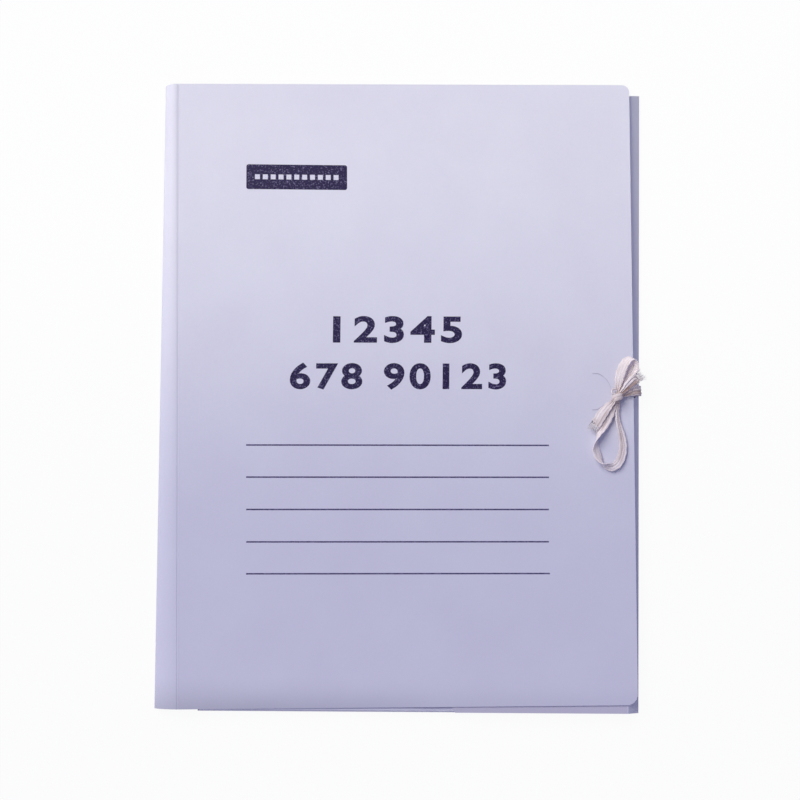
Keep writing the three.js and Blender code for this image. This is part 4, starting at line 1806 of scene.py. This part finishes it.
    def fibres(self) -> bpy.types.Object:
        """Models the two stray fibres that lie on the cover beside the knot.

        Returns:
            The fibres as one piece.
        """
        lines = []
        for route in self.fibre_routes:
            rows = catmull([(x, y, 0.0, 0.0, 0.0) for x, y in route], self.fibre_step)
            lines.append([(PLAN.on_cover(*row[:2], self.fibre_lift) - PLAN.origin) / MM for row in rows])
        piece = thread_piece("stray_fibres", lines, self.fibre_radius, FIBRE)
        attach(piece, Body.COVER.value)
        return piece


# The studio


@dataclass
class Studio:
    """A plain pale floor, soft light from the upper left, and the photograph's viewpoint."""

    camera_at: Point = (91.7, 97.0, 900.0)
    camera_turn: Point = (0.708, 3.811, -1.926)
    focal_px: float = 1773.7
    image_px: float = 800.0
    sensor_mm: float = 36.0
    key_at: Point = (-3.0, 3.1, 4.15)
    key_size: float = 3.6
    key_watts: float = 255.0
    key_colour: int = 0xFFFEFC
    top_at: Point = (-0.50, 0.268, 0.9)
    top_sides: Pair = (0.5, 0.8)
    top_spread: float = math.radians(15)
    top_watts: float = 0.40
    top_colour: int = 0xFFFFD2
    floor_size: float = 8.0
    floor_drop: float = 0.0003
    floor_colour: int = 0xE6E6EE
    floor_glow: float = 0.94  # how much of the floor shows plain white to the camera
    sky_colour: int = 0xC6C8F2
    sky_strength: float = 0.42

    def camera(self) -> bpy.types.Object:
        """Places the camera where the photograph was taken from.

        Returns:
            The scene's camera.
        """
        deselect()
        bpy.ops.object.camera_add(location=PLAN.at(*self.camera_at))
        camera = bpy.context.object
        z_turn, x_turn, y_turn = (math.radians(angle) for angle in self.camera_turn)
        turned = (Matrix.Rotation(z_turn, 3, "Z") @ Matrix.Rotation(x_turn, 3, "X")
                  @ Matrix.Rotation(y_turn, 3, "Y"))
        camera.rotation_euler = turned.to_euler()
        camera.data.sensor_width = self.sensor_mm
        camera.data.lens = self.focal_px / self.image_px * self.sensor_mm
        camera.data.clip_start = 0.01
        bpy.context.scene.camera = camera
        return camera

    def light(self, name: str, at: Point, watts: float, sides: Pair, colour: int) -> bpy.types.Object:
        """Hangs a soft light that faces down.

        Args:
            name: The light's name.
            at: Its place in metres.
            watts: Its power.
            sides: Its two sides in metres.
            colour: Its colour as 0xRRGGBB.

        Returns:
            The light.
        """
        deselect()
        bpy.ops.object.light_add(type="AREA", location=at)
        lamp = bpy.context.object
        lamp.name = name
        lamp.data.energy = watts
        lamp.data.shape = "RECTANGLE"
        lamp.data.size, lamp.data.size_y = sides
        lamp.data.color = linear(colour)[:3]
        return lamp

    def floor(self) -> bpy.types.Object:
        """Lays the floor, which shows white to the camera and keeps a faint shadow.

        Returns:
            The floor.
        """
        deselect()
        bpy.ops.mesh.primitive_plane_add(size=self.floor_size, location=(0, 0, -self.floor_drop))
        floor = bpy.context.object
        floor.name = "floor"
        made = bpy.data.materials.new("white_paper_sweep")
        made.use_nodes = True
        tree = made.node_tree
        tree.nodes.clear()
        seen = add_node(tree, "ShaderNodeLightPath")
        matt = add_node(tree, "ShaderNodeBsdfDiffuse", inputs={"Color": linear(self.floor_colour)})
        glow = add_node(tree, "ShaderNodeEmission", inputs={"Color": (1, 1, 1, 1), "Strength": 1.0})
        faint = add_node(tree, "ShaderNodeMixShader", inputs={
            "Fac": self.floor_glow, 1: matt.outputs[0], 2: glow.outputs[0]})
        direct = add_node(tree, "ShaderNodeMath", {"operation": "MAXIMUM"}, {
            0: seen.outputs["Is Camera Ray"], 1: seen.outputs["Is Glossy Ray"]})
        both = add_node(tree, "ShaderNodeMixShader", inputs={
            "Fac": direct.outputs[0], 1: matt.outputs[0], 2: faint.outputs[0]})
        add_node(tree, "ShaderNodeOutputMaterial", inputs={"Surface": both.outputs[0]})
        floor.data.materials.append(made)
        return floor

    def world(self) -> None:
        """Sets a dim bluish sky that shows white to the camera."""
        world = bpy.data.worlds.new("studio_room")
        world.use_nodes = True
        bpy.context.scene.world = world
        tree = world.node_tree
        tree.nodes.clear()
        seen = add_node(tree, "ShaderNodeLightPath")
        room = add_node(tree, "ShaderNodeBackground", inputs={
            "Color": linear(self.sky_colour), "Strength": self.sky_strength})
        white = add_node(tree, "ShaderNodeBackground", inputs={"Color": (1, 1, 1, 1), "Strength": 1.0})
        both = add_node(tree, "ShaderNodeMixShader", inputs={
            "Fac": seen.outputs["Is Camera Ray"], 1: room.outputs[0], 2: white.outputs[0]})
        add_node(tree, "ShaderNodeOutputWorld", inputs={"Surface": both.outputs[0]})

    def build(self) -> None:
        """Builds the whole studio, without the camera."""
        key = self.light("key_light", self.key_at, self.key_watts, (self.key_size, self.key_size),
                         self.key_colour)
        key.rotation_euler = (-Vector(self.key_at)).to_track_quat("-Z", "Y").to_euler()
        top = self.light("top_light", self.top_at, self.top_watts, self.top_sides, self.top_colour)
        top.data.spread = self.top_spread
        aim = Vector((-self.top_at[0], 0, -self.top_at[2]))
        top.rotation_euler = aim.to_track_quat("-Z", "Y").to_euler()
        self.floor()
        self.world()
        bpy.context.scene.view_settings.view_transform = "Standard"


def main() -> None:
    """Builds the camera, the ties, the card, its print and the studio, in that order."""
    logging.basicConfig(level=logging.INFO, format="%(name)s: %(message)s")
    studio = Studio()
    studio.camera()
    for maker in (Ties(), Blank(), CoverPrint()):
        for piece in maker.build():
            log.info("built %s with %d faces", piece.name, len(piece.data.polygons))
    studio.build()


if __name__ == "__main__":
    main()
